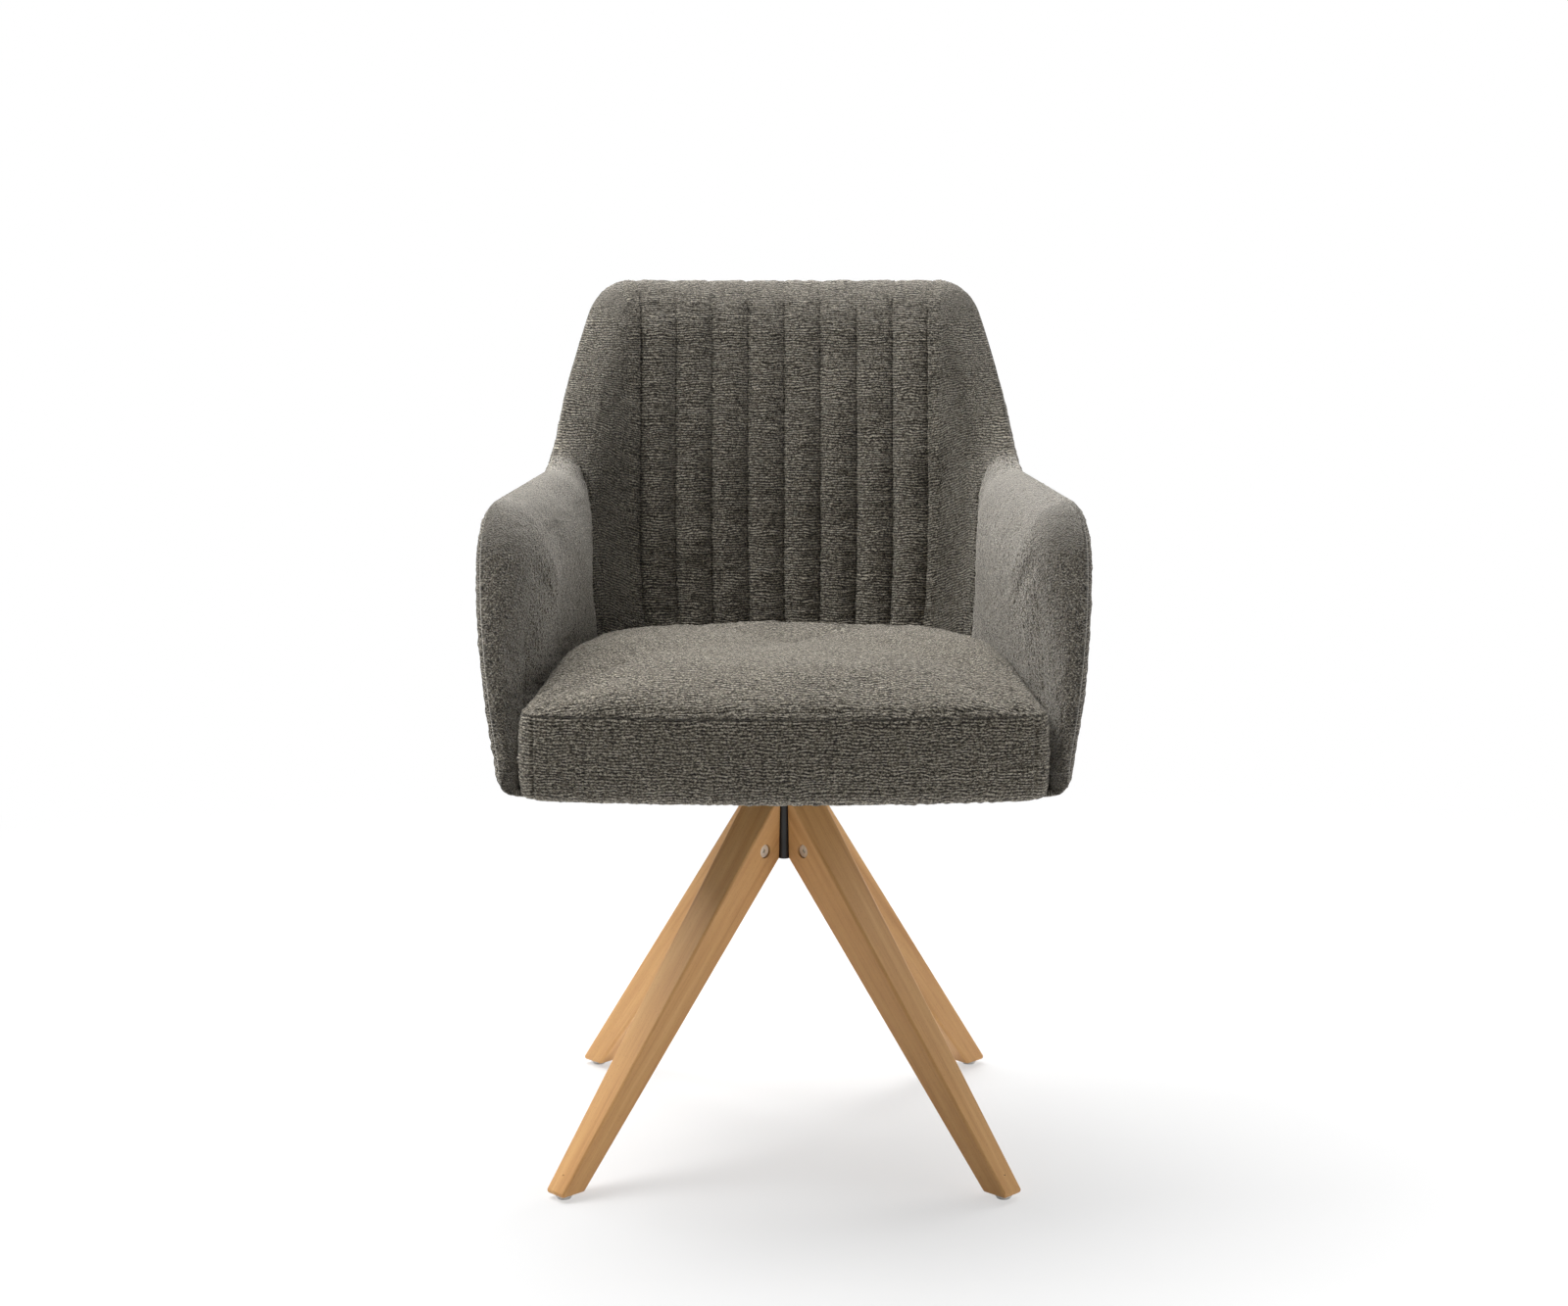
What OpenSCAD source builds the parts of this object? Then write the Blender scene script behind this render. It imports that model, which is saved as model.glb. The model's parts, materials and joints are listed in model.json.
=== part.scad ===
// Upholstered swivel armchair on four splayed wooden legs.
// Millimetres. The origin is on the floor, on the swivel axis. The chair faces -Y.
// Left and right are as seen from the front.

/* [Overall] */
// Height of the top edge of the back
back_h = 871; // [820:1:920]
// Distance from the swivel axis to the front of the seat and to the back of the chair
half_depth = 300; // [285:1:320]
// Height of the underside of the upholstery
under_z = 393; // [386:1:410]
// Outside width across the rear corners of the back
shell_w = 502; // [470:1:530]

/* [Back and arms] */
// Radius of the back seen from above
back_r = 720; // [600:10:1200]
// Radius of the corner between back and arm, seen from above
corner_r = 95; // [85:1:115]
// Angle by which each arm opens towards the front
arm_splay = 6.1; // [2:0.1:9]
// Distance from the axis to the outside of the back at the bottom
low_back_y = 205; // [190:1:230]
// Share by which the bottom of the bucket is narrower than its top
bucket_tuck = 0.11; // [0.05:0.005:0.14]
// Distance round the outside from the middle of the back to its top corner
wing_s = 211; // [200:1:225]
// Distance round the outside from the middle of the back to the notch before the arm
notch_s = 300; // [296:1:315]
// Height of the notch between back and arm
notch_z = 673; // [655:1:700]
// Distance round the outside from the middle of the back to the front of the arm top
arm_s = 622; // [600:1:630]
// Height of the front of the arm
arm_z = 650; // [620:1:665]
// Distance round the outside from the middle of the back to the foot of the arm front
arm_foot_s = 662; // [655:1:672]
// Radius of the top corner of the back
wing_r = 62; // [45:1:75]
// Radius of the notch
notch_r = 80; // [50:1:90]
// Radius of the front corner of the arm
arm_r = 56; // [40:1:70]
// Distance round the outside from the middle of the back to the seam between back and arm
seam_s = 290; // [286:1:294]
// Thickness of the padded back
back_t = 50; // [44:1:58]
// Thickness of the padded arm above the seat
arm_t = 60; // [50:1:68]
// Thickness of the padded arm beside the seat
arm_low_t = 31; // [26:1:36]
// Depth from the outside to the tip of the rim
rim_depth = 14; // [10:0.5:18]
// Distance over which the inside of the rim is rounded
rim_inner_r = 60; // [45:1:80]
// Radius of the lower outer edge of the upholstery
under_r = 24; // [22:0.5:28]
// Thickness of the outer covers
cover_t = 7; // [5:0.5:8]
// Distance from the rim to the edge of the outer covers
cover_d = 12; // [10:0.5:15]
// Thickness of the moulded inner shell
shell_t = 8; // [6:0.5:9]
// Distance from the rim to the edge of the inner shell
shell_d = 25; // [22:0.5:32]
// Distance between the sewn channels of the back, measured on the outside
channel_pitch = 42; // [38:0.5:45]
// Number of channels on each side of the middle seam
channels = 4; // [2:1:4]
// Depth of the channel seams at the top
channel_top_depth = 2; // [1:0.5:4]
// Depth of the channel seams at the bottom
channel_low_depth = 6; // [3:0.5:9]

/* [Seat] */
// Height of the seam along the front edge of the seat
seat_edge_z = 471; // [460:1:485]
// Rise of the seat from that seam to its crown
seat_crown = 42; // [20:1:50]
// Distance by which the front of the seat bows forward in the middle
front_bow = 25; // [5:1:35]
// Thickness of the front band of the seat in front of its board
apron_t = 14; // [10:1:20]
// Bulge of the sides of the seat
band_bulge = 4; // [0:0.5:6]
// Thickness of the seat board
board_t = 16; // [12:1:20]
// Thickness of the block between the board and the steel plate
block_t = 17; // [14:1:20]
// Width of the block
block_w = 230; // [210:1:260]
// Width of the flange at the foot of the shell
flange_w = 40; // [30:1:48]
// Diameter of the shell screws
shell_screw_d = 4; // [3:0.5:5]
// Length of the shell screws
shell_screw_l = 20; // [14:1:22]
// Thickness of the dust cover
dust_t = 1; // [0.6:0.1:2]

/* [Legs] */
// Distance from the axis to the outer edge of a foot, produced to the floor
leg_reach = 312; // [280:1:340]
// Distance from the axis to the outer edge of a leg at its top
leg_top_out = 33.8; // [31:0.1:38]
// Height of the lower inner corner of a leg, where it leaves the hub
leg_corner_z = 288.3; // [283:0.1:294]
// Depth of a foot
foot_depth = 30; // [24:1:36]
// Width of a foot
foot_w = 25; // [20:1:30]
// Width of the top of a leg
leg_top_w = 45; // [40:0.5:46]
// Height of the top of a leg
leg_top_z = 346; // [335:1:350]
// Rounding of the long edges of a leg
leg_edge_r = 3; // [1:0.5:4]
// Rounding of the outer top corner of a leg
leg_top_r = 12; // [8:1:16]
// Diameter of a floor glide
glide_d = 16; // [12:1:20]
// Height of a floor glide
glide_h = 4.5; // [3:0.5:8]
// Diameter of a glide nail
nail_d = 2.4; // [2:0.1:3]
// Length of a glide nail
nail_l = 18; // [12:1:22]

/* [Hub] */
// Width of the square hub tube
hub_w = 52; // [50:1:56]
// Wall of the hub tube
hub_wall = 3; // [2:0.5:3]
// Corner radius of the hub tube
hub_corner_r = 5; // [4:0.5:7]
// Thickness of the lugs that sit in the legs
lug_t = 5; // [4:0.5:6]
// Distance from the axis to the end of a lug
lug_reach = 64; // [58:1:68]
// Distance from a lug to the edges of its leg
lug_margin = 12; // [10:1:14]
// Distance from the axis to the leg bolt
bolt_reach = 47; // [44:0.5:50]
// Height of the leg bolt above the lower inner corner of its leg
bolt_rise = 10; // [8:0.5:13]
// Diameter of the leg bolt shank
bolt_d = 6; // [5:0.5:7]
// Diameter of the leg bolt head
bolt_head_d = 13; // [12:0.5:14]
// Thickness of the leg bolt head
bolt_head_t = 3; // [2.5:0.5:4]
// Depth of the head below the side of the leg
bolt_recess = 2.5; // [1:0.5:3]
// Outside diameter of the barrel of the sleeve nut
barrel_d = 8; // [7.5:0.5:9]
// Thickness of the hub top plate
top_plate_t = 4; // [3:0.5:6]
// Diameter of the hub top plate
top_plate_d = 96; // [86:1:120]

/* [Swivel] */
// Diameter of the spindle
spindle_d = 25; // [20:0.5:28]
// Running clearance of the spindle in its bushes, on the radius
spindle_gap = 0.05; // [0.02:0.01:0.09]
// Wall of the bushes
bush_wall = 3.4; // [2.5:0.1:4.5]
// Length of a bush
bush_l = 18; // [12:1:22]
// Thickness of the bush flange
bush_flange_t = 2; // [1.5:0.5:2.5]
// Diameter of the bearing balls
ball_d = 6.4; // [5:0.2:7]
// Number of bearing balls
ball_count = 16; // [8:1:20]
// Diameter of the circle of balls
ball_circle_d = 58; // [57:1:64]
// Width of the bearing races
race_w = 13; // [11:1:15]
// Thickness of the bearing races
race_t = 2.6; // [2:0.1:4]
// Depth of the ball groove in each race
groove_depth = 1; // [0.5:0.1:1.4]
// Thickness of the spindle collar
collar_t = 6; // [4:1:8]
// Diameter of the column above the collar
column_d = 44; // [34:1:56]
// Thickness of the retaining clip
clip_t = 2; // [1.5:0.5:3]
// Width of the seat plate
plate_w = 200; // [180:1:220]
// Thickness of the seat plate
plate_t = 4; // [3:0.5:6]
// Distance between the seat bolts
seat_bolt_pitch = 150; // [130:1:160]
// Diameter of the seat bolts
seat_bolt_d = 8; // [6:1:10]

/* [Clearances] */
// Clearance between neighbouring pads and covers
layer_gap = 0.3; // [0.2:0.05:0.5]
// Clearance between the shell and the layers on both sides of it
shell_gap = 0.8; // [0.5:0.05:1]
// Clearance between the seat cushion and the pads round it
cushion_gap = 1.5; // [1:0.1:2.5]
// Clearance of fasteners in their holes
hole_gap = 0.1; // [0.05:0.05:0.4]
// Clearance of a lug in its mortise
mortise_gap = 0.3; // [0.1:0.05:0.5]

/* [Hidden] */
$fn = 48;

wood = [0.80, 0.62, 0.43];
plywood = [0.76, 0.66, 0.50];
black_steel = [0.07, 0.07, 0.07];
zinc = [0.70, 0.69, 0.66];
nylon = [0.90, 0.90, 0.88];
cloth = [0.38, 0.36, 0.33];
felt = [0.10, 0.10, 0.10];

// Blending and small vector helpers
function mix(a, b, u) = a + (b - a) * u;
function smooth(x) = let (u = max(0, min(1, x))) u * u * (3 - 2 * u);
function unit(v) = v / norm(v);
// Turns a direction of travel along the rim to the side where the upholstery is
function inward(u) = [u.y, -u.x];
function flat(lists) = [for (l = lists) each l];

// Plan of the bucket: an arc for the back, an arc for the corner and a straight arm,
// measured as the distance round the outside from the middle of the back
corner_end_a = 90 - arm_splay;
corner_start_a = asin((shell_w / 2 - corner_r * sin(corner_end_a)) / (back_r - corner_r));
corner_start_s = back_r * corner_start_a * PI / 180;
corner_end_s = corner_start_s + corner_r * (corner_end_a - corner_start_a) * PI / 180;
corner_start_x = back_r * sin(corner_start_a);
corner_start_drop = back_r * (1 - cos(corner_start_a));
corner_drop = corner_start_drop + corner_r * (cos(corner_start_a) - cos(corner_end_a));
function heading(a) = a < corner_start_s ? a / back_r * 180 / PI :
    a < corner_end_s ? corner_start_a + (a - corner_start_s) / corner_r * 180 / PI : corner_end_a;
function plan_x(a) = a < corner_start_s ? back_r * sin(heading(a)) :
    a < corner_end_s ? corner_start_x + corner_r * (sin(heading(a)) - sin(corner_start_a)) :
    shell_w / 2 + (a - corner_end_s) * cos(corner_end_a);
function plan_drop(a) = a < corner_start_s ? back_r * (1 - cos(heading(a))) :
    a < corner_end_s ? corner_start_drop + corner_r * (cos(corner_start_a) - cos(heading(a))) :
    corner_drop + (a - corner_end_s) * sin(corner_end_a);

// Outside surface of the bucket: narrower towards the bottom, leaning back towards the top
bend_z = under_z + under_r;
widest_drop = 34;
wide_z = arm_z - widest_drop;
tuck_power = 1.8;
recline_power = 1.15;
function narrowing(z) = 1 - bucket_tuck * pow(max(0, (wide_z - z) / (wide_z - under_z)), tuck_power);
function rear_y(z) = mix(low_back_y, half_depth,
    pow(max(0, (z - under_z) / (back_h - cover_d - under_z)), recline_power));
// A point at distance a round the outside and height z, at depth e inside the outside surface
function bucket(a, z, e) = let (
        w = abs(a),
        h = heading(w),
        zz = max(z, bend_z),
        x = narrowing(zz) * plan_x(w) - e * sin(h))
    [a < 0 ? -x : x, rear_y(zz) - plan_drop(w) - e * cos(h), z];

// Full thickness of the padding at a place
arm_swell_start = 17;
arm_swell_z = under_z + arm_swell_start;
arm_swell_h = 190;
function arm_thickness(z) = mix(arm_low_t, arm_t, smooth((z - arm_swell_z) / arm_swell_h));
function thickness(a, z) = mix(back_t, arm_thickness(z),
    smooth((abs(a) - corner_start_s) / (seam_s - corner_start_s)));
// Share of the thickness reached at distance d from the tip of a rim rounded over r
function round_in(d, r) = sqrt(max(0, 1 - pow(1 - min(1, d / r), 2)));
function under_depth(z) = z < bend_z ?
    under_r - sqrt(max(0, pow(under_r, 2) - pow(bend_z - z, 2))) : 0;
tip_share = 0.45;
tip_least = 2;
function tip_depth(a, z) =
    max(min(rim_depth, tip_share * thickness(a, z)), under_depth(z) + tip_least);
function outer_depth(a, z, d) = max(tip_depth(a, z) * (1 - round_in(d, cover_d)), under_depth(z));
function channel_groove(a, z) = abs(a) > channels * channel_pitch + 0.01 ? 0 :
    let (u = abs(a) / channel_pitch - floor(abs(a) / channel_pitch + 0.0001))
    mix(channel_top_depth, channel_low_depth, (back_h - z) / (back_h - seat_edge_z))
        * (1 - sqrt(max(0, 4 * u * (1 - u))));
function inner_depth(a, z, d) = let (tip = tip_depth(a, z))
    tip + (thickness(a, z) - channel_groove(a, z) - tip) * round_in(d, rim_inner_r);
shell_out = cover_t + shell_gap;
shell_in = shell_out + shell_t;
pad_back = shell_in + shell_gap;
function pad_back_depth(a, z, d) = max(under_depth(z),
    d < cover_d ? outer_depth(a, z, d) : d < shell_d ? shell_out : pad_back);

// Rim of the bucket on the unrolled outside surface: corners joined by straight lines
rim_mid = [0, back_h];
wing_tip = [wing_s, back_h];
notch = [notch_s, notch_z];
arm_tip = [arm_s, arm_z];
arm_foot = [arm_foot_s, under_z];
// Rounded corner p between the lines from a and to b, as [distance, height, inward normal]
function rim_arc(a, p, b, r, from, to, n) = let (
        u1 = unit(p - a),
        u2 = unit(b - p),
        turn = atan2(u2.y, u2.x) - atan2(u1.y, u1.x),
        start = p - u1 * abs(r * tan(turn / 2)),
        centre = start + inward(u1) * r,
        side = atan2(inward(u1).y, inward(u1).x))
    [for (k = [0 : n]) let (
            g = side + turn * mix(from, to, k / n),
            normal = [cos(g), sin(g)],
            at = centre - normal * r)
        [at.x, at.y, normal.x, normal.y]];
// Points of a straight stretch between two rim points, ends left out
function rim_line(a, b, n) = [for (k = [1 : n]) mix(a, b, k / (n + 1))];

wing_arc = rim_arc(rim_mid, wing_tip, notch, wing_r, 0, 1, 4);
notch_back_arc = rim_arc(wing_tip, notch, arm_tip, -notch_r, 0, 0.5, 1);
notch_arm_arc = rim_arc(wing_tip, notch, arm_tip, -notch_r, 0.5, 1, 2);
arm_arc = rim_arc(notch, arm_tip, arm_foot, arm_r, 0, 1, 5);
front_dir = unit(arm_foot - arm_tip);
front_normal = inward(front_dir);
// Point of the straight arm front at height z
function front_at(z) = let (at = arm_tip + front_dir * ((arm_z - z) / -front_dir.y))
    [at.x, at.y, front_normal.x, front_normal.y];

// Columns of the padded grid: rim points, and the places on the lower edge that they run to
channel_steps = 3;
channel_end_s = channels * channel_pitch;
back_rim = concat(
    [for (k = [0 : channels * channel_steps]) [k * channel_pitch / channel_steps, back_h, 0, -1]],
    [for (p = wing_arc) if (p.x > channel_end_s + 1) p],
    rim_line(wing_arc[len(wing_arc) - 1], notch_back_arc[0], 2),
    notch_back_arc);
back_plain = len(back_rim) - 1 - channels * channel_steps;
function back_foot(k) = k <= channels * channel_steps ? k * channel_pitch / channel_steps :
    mix(channel_end_s, seam_s, (k - channels * channel_steps) / back_plain);

// Rows of the grid: the first follow the rim, the rest run to the lower edge
rim_rows = [0, cover_d / 6, cover_d / 2, cover_d - layer_gap, cover_d + layer_gap,
    shell_d - layer_gap, shell_d + layer_gap];
pad_rows = 6;
row_power = 1.3;
// A column as rows of [distance, height, distance from the rim]
function column(p, foot, rows, n, shift) = let (
        last = rows[len(rows) - 1],
        from = [p.x + p[2] * last, p.y + p[3] * last])
    concat(
        [for (d = rows) [p.x + p[2] * d + shift, p.y + p[3] * d, d]],
        [for (k = [1 : n]) let (u = pow(k / n, row_power), q = mix(from, foot, u))
            [q.x + shift, q.y, last + norm(foot - from) * u]]);

// Closed solid between two grids of points. With a shared rim the first row of both is one.
module sheet(a, b, shared) {
    m = len(a);
    n = len(a[0]);
    count = m * n;
    function top(i, j) = i * n + j;
    function low(i, j) = shared && j == 0 ? top(i, j) : count + i * n + j;
    faces = concat(
        flat([for (i = [0 : m - 2], j = [0 : n - 2]) [
            [top(i, j), top(i + 1, j), top(i + 1, j + 1)],
            [top(i, j), top(i + 1, j + 1), top(i, j + 1)],
            [low(i, j), low(i + 1, j + 1), low(i + 1, j)],
            [low(i, j), low(i, j + 1), low(i + 1, j + 1)]]]),
        flat([for (j = [0 : n - 2]) concat(
            [[top(0, j), top(0, j + 1), low(0, j + 1)],
             [top(m - 1, j), low(m - 1, j + 1), top(m - 1, j + 1)]],
            shared && j == 0 ? [] :
            [[top(0, j), low(0, j + 1), low(0, j)],
             [top(m - 1, j), low(m - 1, j), low(m - 1, j + 1)]])]),
        flat([for (i = [0 : m - 2]) concat(
            [[top(i, n - 1), top(i + 1, n - 1), low(i + 1, n - 1)],
             [top(i, n - 1), low(i + 1, n - 1), low(i, n - 1)]],
            shared ? [] :
            [[top(i, 0), low(i, 0), low(i + 1, 0)],
             [top(i, 0), low(i + 1, 0), top(i + 1, 0)]])]));
    polyhedron(points = concat(flat(a), flat(b)), faces = faces);
}
function mirrored(cols) = [for (k = [len(cols) - 1 : -1 : 1]) [for (r = cols[k]) [-r.x, r.y, r.z]]];

// Padding on a grid of columns, from the inner surface to the layers behind it
module padding(cols) {
    inner = [for (c = cols) [for (r = c) bucket(r.x, r.y, inner_depth(r.x, r.y, r.z))]];
    outer = [for (c = cols) [for (r = c) bucket(r.x, r.y, pad_back_depth(r.x, r.y, r.z))]];
    sheet(outer, [for (i = [0 : len(cols) - 1]) concat([outer[i][0]],
        [for (j = [1 : len(cols[i]) - 1]) inner[i][j]])], true);
}

// Levels of the seat
flange_z = under_z + shell_in;
board_top = flange_z + board_t;
pad_z = board_top + layer_gap;
plate_top = flange_z - block_t;
plate_z = plate_top - plate_t;

module back_cushion() {
    half = [for (k = [0 : len(back_rim) - 1])
        column(back_rim[k], [back_foot(k), pad_z], rim_rows, pad_rows,
            k == len(back_rim) - 1 ? -layer_gap / 2 : 0)];
    color(cloth) padding(concat(mirrored(half), half));
}

// The arm pad hangs down in front of the shell and board, so its last column turns upwards
nose_inset = 2;
nose_z = under_z + 3;
nose_s = arm_foot_s - nose_inset - shell_d - layer_gap;
arm_rim = concat(
    notch_arm_arc,
    rim_line(notch_arm_arc[len(notch_arm_arc) - 1], arm_arc[0], 4),
    arm_arc,
    rim_line(arm_arc[len(arm_arc) - 1], front_at(bend_z), 3),
    [front_at(bend_z), [arm_foot_s - nose_inset, nose_z, -1, 0]]);
function arm_foot_at(k) = mix(seam_s, nose_s, min(1, k / (len(arm_rim) - 1)));
module arm_pad() {
    cols = [for (k = [0 : len(arm_rim) - 1])
        column(arm_rim[k], [arm_foot_at(k), pad_z], rim_rows, pad_rows, k == 0 ? layer_gap / 2 : 0)];
    padding(cols);
}
module arm_pad_right() { color(cloth) arm_pad(); }
module arm_pad_left() { color(cloth) mirror([1, 0, 0]) arm_pad(); }

// Wall that follows the outside surface at depth e and turns in under the seat by reach
bend_steps = 4;
wall_rows = 5;
function wall(cols, reach, depth) = [for (c = cols) let (foot = c[len(c) - 1], e = depth) concat(
    [for (r = c) bucket(r.x, r.y, max(e, e == 0 ? outer_depth(r.x, r.y, r.z) : 0))],
    [for (k = [1 : bend_steps]) let (g = 90 * k / bend_steps)
        bucket(foot.x, bend_z - (under_r - e) * sin(g), under_r - (under_r - e) * cos(g))],
    [bucket(foot.x, under_z + e, under_r + reach)])];
module bent_wall(cols, reach, near, far) {
    sheet(wall(cols, reach, near), wall(cols, reach, far), false);
}
function wall_column(p, foot, edge, shift) = column(p, [foot, bend_z], [edge], wall_rows, shift);

side_rim = concat(
    notch_arm_arc,
    rim_line(notch_arm_arc[len(notch_arm_arc) - 1], arm_arc[0], 2),
    arm_arc,
    rim_line(arm_arc[len(arm_arc) - 1], front_at(bend_z + 2 * shell_d), 1),
    [front_at(bend_z + 2 * shell_d)]);
cover_margin = 14;
front_margin = 6;
cover_front_s = front_at(bend_z).x - cover_d - front_margin;
shell_front_s = front_at(bend_z).x - shell_d - front_margin;
cover_edge = cover_d + layer_gap * 2;
shell_edge = shell_d + layer_gap * 2;
plain_steps = 8;
plain_back_rim = concat(
    [for (k = [0 : plain_steps]) [k * channel_end_s / plain_steps, back_h, 0, -1]],
    [for (p = wing_arc) if (p.x > channel_end_s + 1) p],
    rim_line(wing_arc[len(wing_arc) - 1], notch_back_arc[0], 2),
    notch_back_arc);
function plain_foot(k) = k <= plain_steps ? k * channel_end_s / plain_steps :
    mix(channel_end_s, seam_s, (k - plain_steps) / (len(plain_back_rim) - 1 - plain_steps));

module back_cover() {
    half = [for (k = [0 : len(plain_back_rim) - 1])
        wall_column(plain_back_rim[k], plain_foot(k), cover_edge,
            k == len(plain_back_rim) - 1 ? -layer_gap / 2 : 0)];
    color(cloth) bent_wall(concat(mirrored(half), half), cover_margin, 0, cover_t);
}
module side_cover() {
    cols = [for (k = [0 : len(side_rim) - 1])
        wall_column(side_rim[k], mix(seam_s, cover_front_s, k / (len(side_rim) - 1)), cover_edge,
            k == 0 ? layer_gap / 2 : 0)];
    bent_wall(cols, cover_margin, 0, cover_t);
}
module side_cover_right() { color(cloth) side_cover(); }
module side_cover_left() { color(cloth) mirror([1, 0, 0]) side_cover(); }

// Screws through the flange of the shell into the seat board
shell_screw_at = [60, 180, 270, 360, 460, 560];
screw_inset = 6;
screw_depth = under_r + flange_w / 2 + screw_inset;
head_rise = 1.5;
module at_shell_screws(z) {
    for (side = [-1, 1], a = shell_screw_at)
        translate(bucket(side * a, z, screw_depth)) children();
}
module inner_shell() {
    half = concat(
        [for (k = [0 : len(plain_back_rim) - 1])
            wall_column(plain_back_rim[k], plain_foot(k), shell_edge, 0)],
        [for (k = [1 : len(side_rim) - 1])
            wall_column(side_rim[k], mix(seam_s, shell_front_s, k / (len(side_rim) - 1)),
                shell_edge, 0)]);
    color(plywood) difference() {
        bent_wall(concat(mirrored(half), half), flange_w, shell_out, shell_in);
        at_shell_screws(flange_z - shell_t) {
            translate([0, 0, -1]) cylinder(d = shell_screw_d + 2 * hole_gap, h = shell_t + 2);
            translate([0, 0, -1]) cylinder(d = 2 * shell_screw_d + 2 * hole_gap, h = head_rise + 1);
        }
    }
}
module shell_screws() {
    color(zinc) at_shell_screws(flange_z - shell_t) {
        cylinder(d = shell_screw_d, h = shell_screw_l);
        difference() {
            cylinder(d = 2 * shell_screw_d, h = head_rise);
            translate([0, 0, -1]) cylinder(d = shell_screw_d / 2, h = 2, $fn = 6);
        }
    }
}

// Plan of the seat front, and of the layers that follow it
seat_half_w = narrowing(bend_z) * plan_x(arm_foot_s) - arm_low_t - 1;
function front_y(x) = -half_depth + front_bow * pow(x / seat_half_w, 2);
board_gap = 1.5;
board_depth = arm_low_t + board_gap;
board_corner = 20;
board_margin = 4;
board_last = arm_foot_s - shell_d - board_margin;
// Outline of the bucket at depth e, back to front, closed along a line set back from the seat front
function seat_outline(e, set_back, last) = concat(
    [for (k = [-12 : 12]) let (p = bucket(last * k / 12, bend_z, e)) [p.x, p.y]],
    [for (k = [6 : -1 : -6])
        let (x = k / 6 * (bucket(last, bend_z, e).x - board_corner)) [x, front_y(x) + set_back]]);

module seat_bolt_places() {
    for (x = [-1, 1], y = [-1, 1])
        translate([x * seat_bolt_pitch / 2, y * seat_bolt_pitch / 2, 0]) children();
}
nut_flange_t = 1.6;
nut_barrel_l = 11;
nut_flange_d = 2.6 * seat_bolt_d;
nut_barrel_d = seat_bolt_d + 2.4;
seat_bolt_head_t = 0.6 * seat_bolt_d;
seat_bolt_head_d = 1.7 * seat_bolt_d;
seat_bolt_key_d = 0.7 * seat_bolt_d;
module seat_board() {
    color(plywood) difference() {
        translate([0, 0, flange_z]) linear_extrude(board_t)
            polygon(seat_outline(board_depth, apron_t + layer_gap, board_last));
        seat_bolt_places() {
            translate([0, 0, flange_z - 1]) cylinder(d = nut_barrel_d + 2 * hole_gap, h = board_t + 2);
            translate([0, 0, board_top - nut_flange_t])
                cylinder(d = nut_flange_d + 2 * hole_gap, h = board_t);
        }
        at_shell_screws(flange_z - 1)
            cylinder(d = shell_screw_d + 2 * hole_gap, h = shell_screw_l - shell_t + 1 + hole_gap);
    }
}
module mounting_block() {
    color(plywood) difference() {
        translate([-block_w / 2, -block_w / 2, plate_top]) cube([block_w, block_w, block_t]);
        seat_bolt_places() translate([0, 0, plate_top - 1])
            cylinder(d = seat_bolt_d + 2 * hole_gap, h = block_t + 2);
    }
}
plate_corner_r = 18;
module seat_plate() {
    color(black_steel) difference() {
        translate([0, 0, plate_z]) linear_extrude(plate_t) square_round(plate_w, plate_corner_r);
        seat_bolt_places() translate([0, 0, plate_z - 1])
            cylinder(d = seat_bolt_d + 2 * hole_gap, h = plate_t + 2);
    }
}
module seat_bolts() {
    color(zinc) seat_bolt_places() {
        translate([0, 0, plate_z]) cylinder(d = seat_bolt_d, h = board_top - nut_flange_t - plate_z);
        difference() {
            translate([0, 0, plate_z - seat_bolt_head_t])
                cylinder(d = seat_bolt_head_d, h = seat_bolt_head_t);
            translate([0, 0, plate_z - seat_bolt_head_t - 1])
                cylinder(d = seat_bolt_key_d, h = seat_bolt_head_t / 2 + 1, $fn = 6);
        }
    }
}
module t_nuts() {
    color(zinc) seat_bolt_places() difference() {
        union() {
            translate([0, 0, board_top - nut_flange_t]) cylinder(d = nut_flange_d, h = nut_flange_t);
            translate([0, 0, board_top - nut_flange_t - nut_barrel_l])
                cylinder(d = nut_barrel_d, h = nut_barrel_l + nut_flange_t / 2);
        }
        translate([0, 0, flange_z - 1]) cylinder(d = seat_bolt_d + hole_gap, h = board_t + 2);
    }
}
dust_depth = under_r + cover_margin + 1;
module dust_cover() {
    color(felt) difference() {
        translate([0, 0, under_z + shell_out - dust_t]) linear_extrude(dust_t)
            polygon(seat_outline(dust_depth, apron_t + 2, board_last - cover_margin));
        cube([block_w + 2, block_w + 2, 4 * under_z], center = true);
    }
}

// Seat cushion: rings from the crown out to the edge seam, down the sides and in underneath
seat_centre_y = -10;
seat_centre = [0, seat_centre_y];
cushion_last = arm_foot_s;
seat_side_steps = 20;
seat_front_steps = 8;
seat_corner_r = 14;
side_edge_rise = 6;
apron_inset = 0.985;
side_inset = 0.97;
seat_front_x = bucket(cushion_last, seat_edge_z, arm_thickness(seat_edge_z) + cushion_gap).x;
// Ring of [place on the bucket, share of the front], walked from the left front to the right front
seat_ring = concat(
    [for (k = [-seat_side_steps : seat_side_steps]) [cushion_last * k / seat_side_steps, 0]],
    [for (k = [seat_front_steps : -1 : -seat_front_steps]) [k / seat_front_steps, 1]]);
function is_front(r) = r[1] == 1;
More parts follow.
